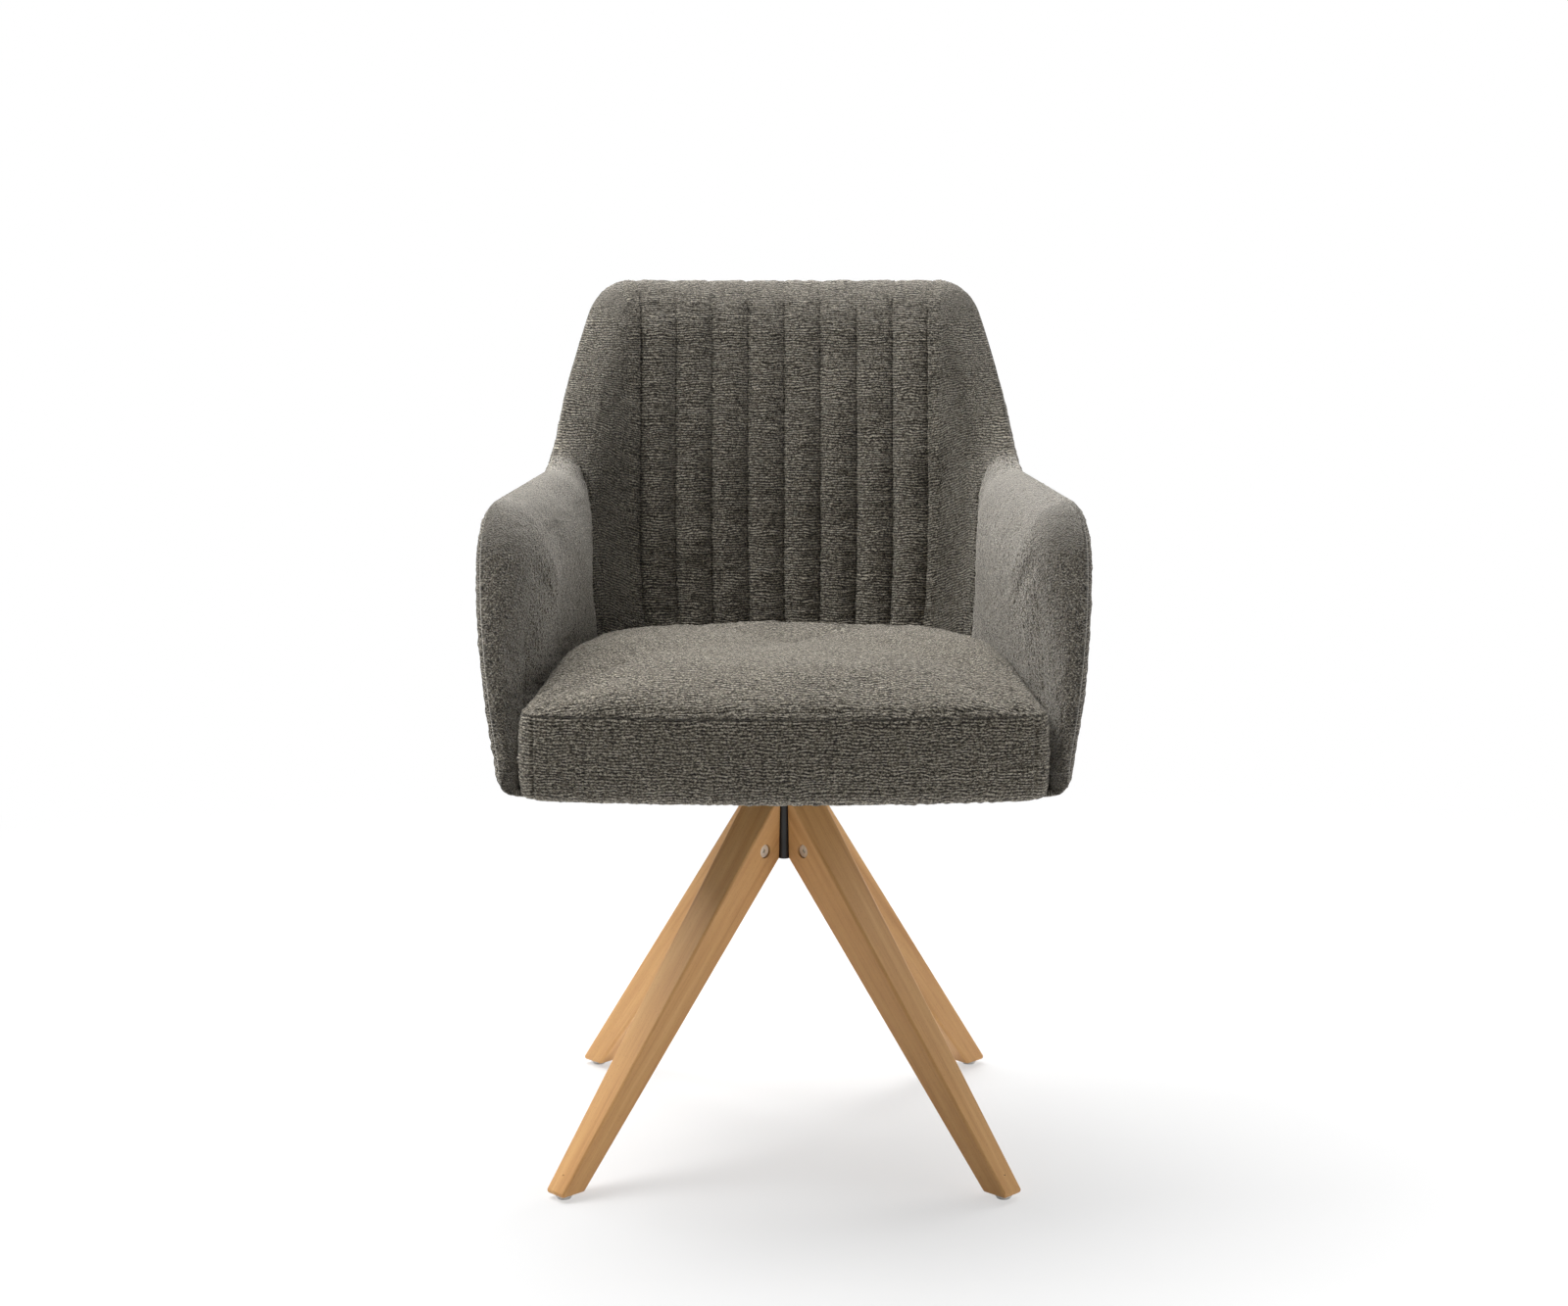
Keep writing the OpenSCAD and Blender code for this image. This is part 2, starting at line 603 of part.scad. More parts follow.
// Outside of the cushion at one ring place and height, and grow, its bulge
function seat_side(r, z, grow) = is_front(r)
    ? let (x = r[0] * (seat_front_x - seat_corner_r)) [x, front_y(x) - grow, z]
    : bucket(r[0], z, thickness(r[0], z) + cushion_gap);
function seat_seam_z(r) = is_front(r) ? seat_edge_z : seat_edge_z + side_edge_rise;
crown_rows = [0.35, 0.65, 0.85, 0.95];
function dome(u) = pow(1 - pow(u, 5), 0.6);
function seat_top(r, u) = let (
        edge = seat_side(r, seat_seam_z(r), 0),
        at = mix(seat_centre, [edge.x, edge.y], u))
    [at.x, at.y, mix(seat_seam_z(r), seat_edge_z + seat_crown, dome(u))];
function seat_low_z(r) = is_front(r) ? under_z : pad_z;
function seat_wall(r, v) =
    seat_side(r, mix(seat_seam_z(r), seat_low_z(r), v), band_bulge * (4 * v * (1 - v) - 1));
function seat_inside(r, z) = let (p = seat_side(r, seat_low_z(r), -band_bulge))
    is_front(r) ? [p.x * apron_inset, front_y(p.x * apron_inset) + apron_t, z] :
    [p.x * side_inset, mix(seat_centre.y, p.y, side_inset), z];
function seat_floor(r) = let (p = seat_inside(r, pad_z)) [p.x, p.y + (is_front(r) ? layer_gap : 0), pad_z];
seat_rings = concat(
    [for (u = crown_rows) [for (r = seat_ring) seat_top(r, u)]],
    [for (v = [0, 0.2, 0.5, 0.8, 1]) [for (r = seat_ring) seat_wall(r, v)]],
    [[for (r = seat_ring) seat_inside(r, seat_low_z(r))],
     [for (r = seat_ring) seat_floor(r)]]);
module seat_cushion() {
    m = len(seat_rings);
    n = len(seat_ring);
    top = m * n;
    low = top + 1;
    function at(j, i) = j * n + i % n;
    faces = concat(
        [for (i = [0 : n - 1]) [top, at(0, i + 1), at(0, i)]],
        [for (i = [0 : n - 1]) [low, at(m - 1, i), at(m - 1, i + 1)]],
        flat([for (j = [0 : m - 2], i = [0 : n - 1]) [
            [at(j, i), at(j, i + 1), at(j + 1, i + 1)],
            [at(j, i), at(j + 1, i + 1), at(j + 1, i)]]]));
    crown = [seat_centre.x, seat_centre.y, seat_edge_z + seat_crown];
    base = [seat_centre.x, seat_centre.y, pad_z];
    color(cloth) polyhedron(points = concat(flat(seat_rings), [crown, base]), faces = faces);
}

// Legs, drawn with X along the leg's reach and Y across it, then turned to their corner
leg_in = hub_w / 2;
leg_lean_out = atan((leg_reach - leg_top_out) / leg_top_z);
leg_lean_in = atan((leg_reach - foot_depth - leg_in) / leg_corner_z);
function out_at(z) = leg_reach - z * tan(leg_lean_out);
function in_at(z) = leg_reach - foot_depth - z * tan(leg_lean_in);
bolt_z = leg_corner_z + bolt_rise;
function leg_w(z) = mix(foot_w, leg_top_w, (z - glide_h) / (leg_top_z - glide_h));
// Corner of the leg's side outline, moved in from both of its edges by r
function inset(a, p, b, r) = let (
        n1 = inward(unit(p - a)),
        n2 = inward(unit(b - p)))
    p + (n1 + n2) * r / (1 + n1 * n2);
leg_outline = [[leg_in, leg_corner_z], [leg_in, leg_top_z], [out_at(leg_top_z), leg_top_z],
    [out_at(glide_h), glide_h], [in_at(glide_h), glide_h]];
function leg_corner(k, r) =
    inset(leg_outline[(k + 4) % 5], leg_outline[k], leg_outline[(k + 1) % 5], r);
leg_top_turn = 90 - leg_lean_out;
// The rounding of the outer top corner ends where the inner edge's own rounding starts
leg_top_round = min(leg_top_r, (out_at(leg_top_z) - leg_in - leg_edge_r) / tan(leg_top_turn / 2));
leg_balls = concat(
    [for (k = [0, 1, 3, 4]) leg_corner(k, leg_edge_r)],
    [for (k = [0 : 3]) let (g = 90 - leg_top_turn * k / 3)
        leg_corner(2, leg_top_round) + (leg_top_round - leg_edge_r) * [cos(g), sin(g)]]);
foot_centre = (out_at(glide_h) + in_at(glide_h)) / 2;
head_out = leg_w(bolt_z) / 2 - bolt_recess;
head_in = head_out - bolt_head_t;
module lug_outline(gap) {
    reach = lug_reach + gap;
    margin = lug_margin - gap;
    start = leg_in - 1;
    low = leg_corner_z + lug_margin / 2 - gap;
    high = leg_top_z - lug_margin + gap;
    polygon([[start, low], [start, high], [out_at(high + margin), high],
        [reach, (leg_reach - reach) / tan(leg_lean_out) - margin],
        [reach, (leg_reach - foot_depth - reach) / tan(leg_lean_in) + lug_margin - gap],
        [leg_in + lug_margin, low]]);
}
module across(width) {
    rotate([90, 0, 0]) linear_extrude(width, center = true) children();
}
module leg() {
    color(wood) difference() {
        hull() for (p = leg_balls, s = [-1, 1])
            translate([p.x, s * (leg_w(p.y) / 2 - leg_edge_r), p.y]) sphere(leg_edge_r, $fn = 16);
        across(lug_t + 2 * mortise_gap) lug_outline(mortise_gap);
        translate([bolt_reach, 0, bolt_z]) rotate([90, 0, 0]) {
            cylinder(d = barrel_d + 2 * hole_gap, h = 2 * leg_top_w, center = true);
            for (s = [-1, 1]) translate([0, 0, s * (head_in + leg_top_w / 2)])
                cylinder(d = bolt_head_d + 1, h = leg_top_w, center = true);
        }
        translate([foot_centre, 0, glide_h - 1]) cylinder(d = nail_d + 2 * hole_gap, h = nail_l + 1);
    }
}
module turned(k) { rotate([0, 0, 45 + 90 * k]) children(); }
module leg_back_right() { turned(0) leg(); }
module leg_back_left() { turned(1) leg(); }
module leg_front_left() { turned(2) leg(); }
module leg_front_right() { turned(3) leg(); }

// The bolt passes through the lug into the sleeve nut that comes from the other side
bolt_stop = 2;
bolt_key_d = 0.36 * bolt_head_d;
module leg_bolt() {
    translate([bolt_reach, 0, bolt_z]) rotate([-90, 0, 0]) {
        translate([0, 0, -head_in + bolt_stop]) cylinder(d = bolt_d, h = 2 * head_in - bolt_stop);
        difference() {
            translate([0, 0, head_in]) cylinder(d = bolt_head_d, h = bolt_head_t);
            translate([0, 0, head_in + 1]) cylinder(d = bolt_key_d, h = bolt_head_t, $fn = 6);
        }
    }
}
module sleeve_nut() {
    translate([bolt_reach, 0, bolt_z]) rotate([90, 0, 0]) difference() {
        union() {
            translate([0, 0, head_in]) cylinder(d = bolt_head_d, h = bolt_head_t);
            translate([0, 0, -head_in + bolt_stop]) cylinder(d = barrel_d, h = 2 * head_in - bolt_stop);
        }
        translate([0, 0, -2 * head_in]) cylinder(d = bolt_d + hole_gap, h = 3 * head_in);
        translate([0, 0, head_in + 1]) cylinder(d = bolt_key_d, h = bolt_head_t, $fn = 6);
    }
}
// Heads face the front on both front legs
module leg_bolts() {
    color(zinc) for (k = [0 : 3]) turned(k) mirror([0, k % 2, 0]) leg_bolt();
}
module leg_sleeve_nuts() {
    color(zinc) for (k = [0 : 3]) turned(k) mirror([0, k % 2, 0]) sleeve_nut();
}

glide_foot_d = 0.82 * glide_d;
glide_sink = 1.2;
nail_head_d = 2.6 * nail_d;
module floor_glides() {
    color(nylon) for (k = [0 : 3]) turned(k) translate([foot_centre, 0, 0]) rotate_extrude()
        polygon([[nail_head_d / 2 + hole_gap, 0], [glide_foot_d / 2, 0],
            [glide_d / 2, glide_h / 2], [glide_d / 2, glide_h], [nail_d / 2 + hole_gap, glide_h],
            [nail_d / 2 + hole_gap, 2 * glide_sink], [nail_head_d / 2 + hole_gap, 2 * glide_sink]]);
}
module glide_nails() {
    color(zinc) for (k = [0 : 3]) turned(k) translate([foot_centre, 0, 0]) {
        translate([0, 0, glide_sink]) cylinder(d = nail_head_d, h = glide_sink);
        translate([0, 0, glide_sink]) cylinder(d = nail_d, h = glide_h + nail_l - glide_sink - 1);
    }
}

// Hub: square tube with an inner sleeve for the bushes, four lugs and a top plate
hub_low = leg_corner_z + 1.5;
cap_t = 2;
cap_rim = 3;
cap_wall = 2;
sleeve_wall = 4;
bush_r = spindle_d / 2 + spindle_gap + bush_wall;
sleeve_r = bush_r + hole_gap / 2;
clip_z = hub_low + cap_rim + 3;
washer_t = 2;
sleeve_low = clip_z + clip_t + washer_t + bush_flange_t;
hub_top = leg_top_z + top_plate_t;
module square_round(w, r) {
    union() {
        square([w - 2 * r, w], center = true);
        square([w, w - 2 * r], center = true);
        for (x = [-1, 1], y = [-1, 1]) translate([x, y] * (w / 2 - r)) circle(r);
    }
}
module leg_hub() {
    color(black_steel) difference() {
        union() {
            rotate([0, 0, 45]) difference() {
                translate([0, 0, hub_low]) linear_extrude(leg_top_z - hub_low)
                    square_round(hub_w, hub_corner_r);
                translate([0, 0, hub_low - 1]) linear_extrude(leg_top_z - hub_low + 2)
                    square_round(hub_w - 2 * hub_wall, hub_corner_r - hub_wall);
            }
            translate([0, 0, sleeve_low])
                cylinder(r = hub_w / 2 - hub_wall / 2, h = leg_top_z - sleeve_low);
            translate([0, 0, leg_top_z]) cylinder(d = top_plate_d, h = top_plate_t);
            for (k = [0 : 3]) turned(k) across(lug_t) lug_outline(0);
        }
        translate([0, 0, hub_low - 1]) cylinder(r = sleeve_r, h = hub_top);
        for (k = [0 : 3]) turned(k) translate([bolt_reach, 0, bolt_z]) rotate([90, 0, 0])
            cylinder(d = barrel_d + 2 * hole_gap, h = 2 * lug_t, center = true);
    }
}
module hub_cap() {
    inner = hub_w - 2 * hub_wall - 2 * hole_gap;
    color(felt) rotate([0, 0, 45]) union() {
        translate([0, 0, hub_low - cap_t]) linear_extrude(cap_t) square_round(hub_w, hub_corner_r);
        translate([0, 0, hub_low]) linear_extrude(cap_rim) difference() {
            square_round(inner, hub_corner_r - hub_wall);
            square_round(inner - 2 * cap_wall, cap_wall / 2);
        }
    }
}
bush_flange_r = bush_r + 3;
module bush(flange_low) {
    color(nylon) difference() {
        union() {
            cylinder(r = bush_r, h = bush_l);
            translate([0, 0, flange_low]) cylinder(r = bush_flange_r, h = bush_flange_t);
        }
        translate([0, 0, -bush_flange_t - 1])
            cylinder(r = spindle_d / 2 + spindle_gap, h = bush_l + 2 * bush_flange_t + 2);
    }
}
module lower_bush() { translate([0, 0, sleeve_low]) bush(-bush_flange_t); }
module upper_bush() { translate([0, 0, hub_top - bush_l]) bush(bush_l); }

// Thrust bearing between the hub and the collar of the spindle
race_in = ball_circle_d / 2 - race_w / 2;
race_out = ball_circle_d / 2 + race_w / 2;
ball_z = hub_top + race_t - groove_depth + ball_d / 2;
upper_race_z = ball_z + ball_d / 2 - groove_depth;
collar_z = upper_race_z + race_t;
ball_room = 0.05;
cage_gap = 0.3;
module race(z) {
    color(zinc) difference() {
        translate([0, 0, z]) cylinder(r = race_out, h = race_t);
        translate([0, 0, z - 1]) cylinder(r = race_in, h = race_t + 2);
        translate([0, 0, ball_z]) rotate_extrude()
            translate([ball_circle_d / 2, 0]) circle(ball_d / 2 + ball_room);
    }
}
module bearing_lower_race() { race(hub_top); }
module bearing_upper_race() { race(upper_race_z); }
module at_balls() {
    for (k = [0 : ball_count - 1]) rotate([0, 0, 360 * k / ball_count])
        translate([ball_circle_d / 2, 0, ball_z]) children();
}
module bearing_balls() { color(zinc) at_balls() sphere(d = ball_d); }
module bearing_cage() {
    low = hub_top + race_t + cage_gap;
    high = upper_race_z - cage_gap;
    color(nylon) difference() {
        translate([0, 0, low]) cylinder(r = race_out - 2, h = high - low);
        translate([0, 0, low - 1]) cylinder(r = race_in + 2, h = high - low + 2);
        at_balls() cylinder(d = ball_d + 4 * hole_gap, h = ball_d, center = true);
    }
}

// Spindle with its collar and column, held from below by a washer and a clip
spindle_low = clip_z - 2;
groove_in = 1.2;
module seat_spindle() {
    color(black_steel) difference() {
        union() {
            translate([0, 0, spindle_low]) cylinder(d = spindle_d, h = plate_z - spindle_low);
            translate([0, 0, collar_z]) cylinder(r = race_out, h = collar_t);
            translate([0, 0, collar_z]) cylinder(d = column_d, h = plate_z - collar_z);
            translate([0, 0, upper_race_z + race_t / 2]) cylinder(r = race_in - hole_gap, h = race_t);
        }
        translate([0, 0, clip_z]) difference() {
            cylinder(d = spindle_d + 2, h = clip_t);
            translate([0, 0, -1]) cylinder(d = spindle_d - 2 * groove_in, h = clip_t + 2);
        }
    }
}
module spindle_washer() {
    color(zinc) translate([0, 0, clip_z + clip_t]) difference() {
        cylinder(r = bush_flange_r, h = washer_t - hole_gap);
        translate([0, 0, -1]) cylinder(d = spindle_d + 2 * hole_gap, h = washer_t + 2);
    }
}
clip_open = 8;
module spindle_clip() {
    color(black_steel) translate([0, 0, clip_z]) difference() {
        cylinder(d = spindle_d + 5, h = clip_t);
        translate([0, 0, -1]) cylinder(d = spindle_d - 2 * groove_in, h = clip_t + 2);
        translate([0, -clip_open / 2, -1]) cube([spindle_d, clip_open, clip_t + 2]);
    }
}

leg_front_left();
leg_front_right();
leg_back_left();
leg_back_right();
leg_hub();
hub_cap();
leg_bolts();
leg_sleeve_nuts();
floor_glides();
glide_nails();
lower_bush();
upper_bush();
bearing_lower_race();
bearing_balls();
bearing_cage();
bearing_upper_race();
seat_spindle();
spindle_washer();
spindle_clip();
seat_plate();
seat_bolts();
t_nuts();
mounting_block();
seat_board();
inner_shell();
shell_screws();
dust_cover();
seat_cushion();
back_cushion();
arm_pad_left();
arm_pad_right();
back_cover();
side_cover_left();
side_cover_right();
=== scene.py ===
"""Upholstered swivel armchair: padding, covers, seat cushion, materials, light and camera.

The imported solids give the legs, hub, bearing and hidden parts. The soft pieces are surfaces
worked out here on the same bucket shape, in millimetres, and stored in metres. Their pads are
filled by a short cloth simulation.
"""
import json
import math
import bmesh
import bpy
import numpy as np
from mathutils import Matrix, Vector


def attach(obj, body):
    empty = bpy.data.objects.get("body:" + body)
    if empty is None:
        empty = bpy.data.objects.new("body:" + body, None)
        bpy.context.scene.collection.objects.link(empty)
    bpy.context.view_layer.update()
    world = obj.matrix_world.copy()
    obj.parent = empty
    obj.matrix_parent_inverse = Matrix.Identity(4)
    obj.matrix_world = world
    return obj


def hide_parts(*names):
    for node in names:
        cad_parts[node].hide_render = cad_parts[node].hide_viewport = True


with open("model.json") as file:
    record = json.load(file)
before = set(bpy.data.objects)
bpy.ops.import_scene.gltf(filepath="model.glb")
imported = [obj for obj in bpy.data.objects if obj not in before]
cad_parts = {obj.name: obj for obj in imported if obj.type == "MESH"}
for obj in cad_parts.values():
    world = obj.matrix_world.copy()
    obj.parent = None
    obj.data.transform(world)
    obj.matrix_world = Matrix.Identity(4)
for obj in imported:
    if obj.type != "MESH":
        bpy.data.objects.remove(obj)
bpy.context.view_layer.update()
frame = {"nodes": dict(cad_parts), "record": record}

# Sizes of the upholstery, as in the solids
BACK_H = 871.0
HALF_DEPTH = 300.0
UNDER_Z = 393.0
SHELL_W = 502.0
BACK_R = 720.0
CORNER_R = 95.0
ARM_END = math.radians(90 - 6.1)
LOW_BACK_Y = 205.0
BUCKET_TUCK = 0.11
WING_S = 211.0
NOTCH_S = 300.0
NOTCH_Z = 673.0
ARM_S = 622.0
ARM_Z = 650.0
ARM_FOOT_S = 662.0
WING_R = 62.0
NOTCH_R = 80.0
ARM_R = 56.0
SEAM_S = 290.0
BACK_T = 50.0
ARM_T = 60.0
ARM_LOW_T = 31.0
CORNER_T = 42.0
CORNER_FILL = 4.0
CORNER_MID = 240.0
CORNER_SPREAD = 56.0
RIM_DEPTH = 14.0
RIM_INNER_R = 60.0
RIM_OUTER_R = 22.0
UNDER_R = 24.0
COVER_T = 5.5
COVER_D = 12.0
PAD_BACK = 17.4
CHANNEL_PITCH = 42.0
CHANNELS = 4
SEAT_EDGE_Z = 471.0
SEAT_CROWN = 42.0
SEAT_CENTRE_Y = -10.0
FRONT_BOW = 25.0
APRON_T = 14.0
PAD_Z = 425.6
BEND_Z = UNDER_Z + UNDER_R
WIDE_Z = ARM_Z - 34
TURN_IN = 14.0
SKIN_END = BEND_Z - UNDER_R * math.pi / 2 - TURN_IN
# Angle round the rim at which the covers are sewn to the pads
SEAM_ANGLE = math.radians(32)
# Half the gap between back and arm at their seam, and how far from it the stitched row runs
SEAM_GAP = 0.15
STITCHED_ROW = 4.6
# Height of the pile's unevenness
PILE = 0.42
# Filling by simulation: pressure, frames, share that the cloth is cut larger, evening passes
FILL_PRESSURE = 4.0
FILL_FRAMES = 20
FILL_SWELL = 0.003
FILL_EVENING = 6

CORNER_START = math.asin((SHELL_W / 2 - CORNER_R * math.sin(ARM_END)) / (BACK_R - CORNER_R))
START_S = BACK_R * CORNER_START
END_S = START_S + CORNER_R * (ARM_END - CORNER_START)


def smooth(x):
    """Goes from 0 to 1 with level ends."""
    u = np.clip(x, 0, 1)
    return u * u * (3 - 2 * u)


def mix(a, b, u):
    """Goes from a to b as u goes from 0 to 1."""
    return a + (b - a) * u


def round_in(x):
    """Quarter circle: the share of full height reached at share x of the rounding's width."""
    return np.sqrt(np.maximum(0, 1 - (1 - np.clip(x, 0, 1)) ** 2))


def unit(v):
    """Vectors at length 1."""
    return v / np.linalg.norm(v, axis=-1, keepdims=True)


def line_lengths(line):
    """Lengths along a line of points, from its start."""
    return np.concatenate([[0], np.cumsum(np.linalg.norm(np.diff(line, axis=0), axis=1))])


def waves(u, v, length_u, length_v, seed, count=14):
    """Irregular pattern of about -1 to 1: a sum of sine waves of seeded direction and phase."""
    rng = np.random.default_rng(seed)
    total = np.zeros(np.broadcast(u, v).shape)
    for _ in range(count):
        g = rng.uniform(0, 2 * math.pi)
        k = rng.uniform(0.6, 1.5)
        phase = rng.uniform(0, 2 * math.pi)
        along = u / length_u * math.cos(g) + v / length_v * math.sin(g)
        total += np.sin(2 * math.pi * k * along + phase)
    return total / math.sqrt(count)


def plan(s):
    """Heading, x and drop of the outside seen from above, at distance s round it.

    A wide arc for the back, a tight arc for the corner and a straight line for the arm.
    """
    a = np.abs(s)
    back = np.minimum(a, START_S) / BACK_R
    corner = CORNER_START + np.clip(a - START_S, 0, END_S - START_S) / CORNER_R
    beyond = np.maximum(0, a - END_S)
    x = (BACK_R * np.sin(back) + CORNER_R * (np.sin(corner) - math.sin(CORNER_START))
         + beyond * math.cos(ARM_END))
    drop = (BACK_R * (1 - np.cos(back)) + CORNER_R * (math.cos(CORNER_START) - np.cos(corner))
            + beyond * math.sin(ARM_END))
    return np.where(a < START_S, back, corner), x, drop


def narrowing(z):
    """Share of the full width at height z: less towards the bottom."""
    return 1 - BUCKET_TUCK * np.maximum(0, (WIDE_Z - z) / (WIDE_Z - UNDER_Z)) ** 1.8


def rear_y(z):
    """Outside of the back at height z: further back towards the top."""
    u = np.maximum(0, (z - UNDER_Z) / (BACK_H - COVER_D - UNDER_Z)) ** 1.15
    return mix(LOW_BACK_Y, HALF_DEPTH, u)


def bucket(s, z, e):
    """Point at distance s round the bucket and height z, at depth e inside its outside."""
    h, x, drop = plan(s)
    level = np.maximum(z, BEND_Z)
    side = narrowing(level) * x - e * np.sin(h)
    return np.stack(np.broadcast_arrays(
        np.where(s < 0, -side, side), rear_y(level) - drop - e * np.cos(h), z), axis=-1)


def skin(w, e):
    """Height and depth in the bucket of depth e under the unrolled outside, at unrolled height w.

    Above the bend w is the height. Below it the surface follows a quarter circle of radius
    UNDER_R and then runs level inwards.
    """
    g = np.clip((BEND_Z - w) / UNDER_R, 0, math.pi / 2)
    over = np.maximum(0, BEND_Z - w - UNDER_R * math.pi / 2)
    below = w < BEND_Z
    z = np.where(below, BEND_Z - (UNDER_R - e) * np.sin(g), w)
    depth = np.where(below, UNDER_R - (UNDER_R - e) * np.cos(g) + over, e)
    return z, depth


def arm_thickness(z):
    """Thickness of the arm: less towards the bottom."""
    return mix(ARM_LOW_T, ARM_T, smooth((z - UNDER_Z - 17) / 190))


def thickness(s, z):
    """Depth of the inner face: thinner in the corner behind the arm, where a filling rounds it."""
    a = np.abs(s)
    corner = mix(BACK_T, CORNER_T, smooth((a - START_S) / (SEAM_S - 15 - START_S)))
    bulge = CORNER_FILL * np.exp(-((a - CORNER_MID) / CORNER_SPREAD) ** 2)
    corner = corner + bulge * smooth((BACK_H + 20 - z) / 120)
    return mix(corner, arm_thickness(z), smooth((a - SEAM_S + 10) / 100))


def rim_rise(rim):
    """Depth of the rim's foremost line, where the pad meets its cover: little under the seat."""
    return np.minimum(RIM_DEPTH, 0.45 * thickness(rim[:, 0], rim[:, 1]))[:, None] * mix(
        0.15, 1, smooth((rim[:, 1, None] - 386) / 45))


def spread(values, places, count):
    """Values known at some places along the first axis, in straight lines over all of it."""
    at = np.arange(count)
    k = np.clip(np.searchsorted(places, at, side="right") - 1, 0, len(places) - 2)
    share = ((at - places[k]) / (places[k + 1] - places[k])).reshape(-1, 1, 1)
    return mix(values[k], values[k + 1], share)


def thinned(count, step):
    """Every few of count places, and the last one."""
    return np.unique(np.append(np.arange(0, count, step), count - 1))


def new_object(name, data):
    """Object of a mesh, lamp or camera, put into the scene."""
    ob = bpy.data.objects.new(name, data)
    bpy.context.scene.collection.objects.link(ob)
    return ob


def grid_faces(m, n, ring, wrap):
    """Row and column numbers of the four corners of each face in a grid of m by n points.

    With ring the last row joins the first, and with wrap the last column does.
    """
    i, j = np.meshgrid(np.arange(m if ring else m - 1), np.arange(n if wrap else n - 1),
                       indexing="ij")
    i, j = i.ravel(), j.ravel()
    return np.stack([i, i + 1, i + 1, i], -1), np.stack([j, j, j + 1, j + 1], -1)


def evened(values, wrap):
    """Values evened out with their neighbours along the first axis. Unwrapped ends stay."""
    even = (np.roll(values, 1, axis=0) + 2 * values + np.roll(values, -1, axis=0)) / 4
    if not wrap:
        even[[0, -1]] = values[[0, -1]]
    return even


def filled(points, pinned, steps, towards, wrap=False, cap=3.0):
    """Movement in millimetres of a grid of points that is filled from inside: cloth simulation.

    Every few rows and columns become a cloth. It is held where pinned and pushed to the side
    towards by pressure. Movements are rounded off at cap, laid back over the full grid in
    straight lines and evened out.
    """
    m, n = points.shape[:2]
    rows = thinned(m, steps[0])
    columns = np.arange(0, n, steps[1]) if wrap else thinned(n, steps[1])
    thin = points[np.ix_(rows, columns)]
    i, j = grid_faces(*thin.shape[:2], False, wrap)
    faces = i * len(columns) + j % len(columns)
    if (grid_normals(thin) @ np.array(towards, float)).mean() < 0:
        faces = faces[:, ::-1]
    mesh = bpy.data.meshes.new("filling")
    mesh.from_pydata((thin.reshape(-1, 3) / 1000).tolist(), [], faces.tolist())
    ob = new_object("filling", mesh)
    held = ob.vertex_groups.new(name="held")
    held.add(np.flatnonzero(pinned[np.ix_(rows, columns)]).tolist(), 1.0, "REPLACE")
    cloth = ob.modifiers.new("filling", "CLOTH")
    cloth.settings.vertex_group_mass = "held"
    cloth.settings.use_pressure = True
    cloth.settings.uniform_pressure_force = FILL_PRESSURE
    cloth.settings.shrink_min = -FILL_SWELL
    cloth.settings.effector_weights.gravity = 0
    cloth.collision_settings.use_collision = False
    cloth.point_cache.frame_start = 1
    cloth.point_cache.frame_end = FILL_FRAMES
    for number in range(1, FILL_FRAMES + 1):
        bpy.context.scene.frame_set(number)
    shape = ob.evaluated_get(bpy.context.evaluated_depsgraph_get()).data
    moved = np.empty(thin.size)
    shape.vertices.foreach_get("co", moved)
    moved = moved.reshape(thin.shape) * 1000 - thin
    bpy.data.objects.remove(ob)
    bpy.data.meshes.remove(mesh)
    bpy.context.scene.frame_set(1)
    size = np.linalg.norm(moved, axis=-1, keepdims=True)
    moved = moved * cap * np.tanh(size / cap) / np.maximum(size, 1e-6)
    if wrap:
        moved = np.concatenate([moved, moved[:, :1]], axis=1)
        columns = np.append(columns, n)
    moved = spread(moved, rows, m)
    moved = spread(moved.swapaxes(0, 1), columns, n).swapaxes(0, 1)
    for _ in range(FILL_EVENING):
        moved = evened(evened(moved, False).swapaxes(0, 1), wrap).swapaxes(0, 1)
    return moved


def nap(shape, seed):
    """Fine unevenness of the pile: seeded, longer along the ribs than across them."""
    rough = np.random.default_rng(seed).normal(0, 1, shape)
    along = 0.5 * rough + 0.25 * (np.roll(rough, 1, axis=0) + np.roll(rough, -1, axis=0))
    return PILE * (1.1 * along + 0.35 * rough)


def napped(grid, seed):
    """Grid of points raised along its normals by the pile, which fades in behind the seam."""
    lip = smooth(np.arange(grid.shape[1]) / 4)
    return grid + grid_normals(grid) * (nap(grid.shape[:2], seed) * lip)[..., None]


def crowded(share, amount):
    """Shares from 0 to 1 moved towards both ends by a sine."""
    return share - amount * np.sin(2 * math.pi * share) / (2 * math.pi)


def rows_back(first, last, count):
    """Numbers of about count rows, from the last one back to the first."""
    return np.unique(np.round(np.linspace(first, last, count)).astype(int))[::-1]


# Rim of the bucket on the unrolled outside
FILLET_POINTS = 24


def inward(u):
    """Directions turned a quarter clockwise, into the upholstery."""
    return np.stack([u[..., 1], -u[..., 0]], axis=-1)


def fillet(a, p, b, r, start, end):
    """Arc that rounds corner p between a and b, from share start to share end of its turn.

    Rows hold the point and the normal that points to the upholstery.
    """
    a, p, b = (np.array(q, float) for q in (a, p, b))
    u1, u2 = unit(p - a), unit(b - p)
    turn = math.atan2(u2[1], u2[0]) - math.atan2(u1[1], u1[0])
    at = p - u1 * abs(r * math.tan(turn / 2))
    centre = at + inward(u1) * r
    n1 = inward(u1)
    g = math.atan2(n1[1], n1[0]) + turn * np.linspace(start, end, FILLET_POINTS)
    normal = np.stack([np.cos(g), np.sin(g)], axis=-1)
    return np.hstack([centre - normal * r, normal])


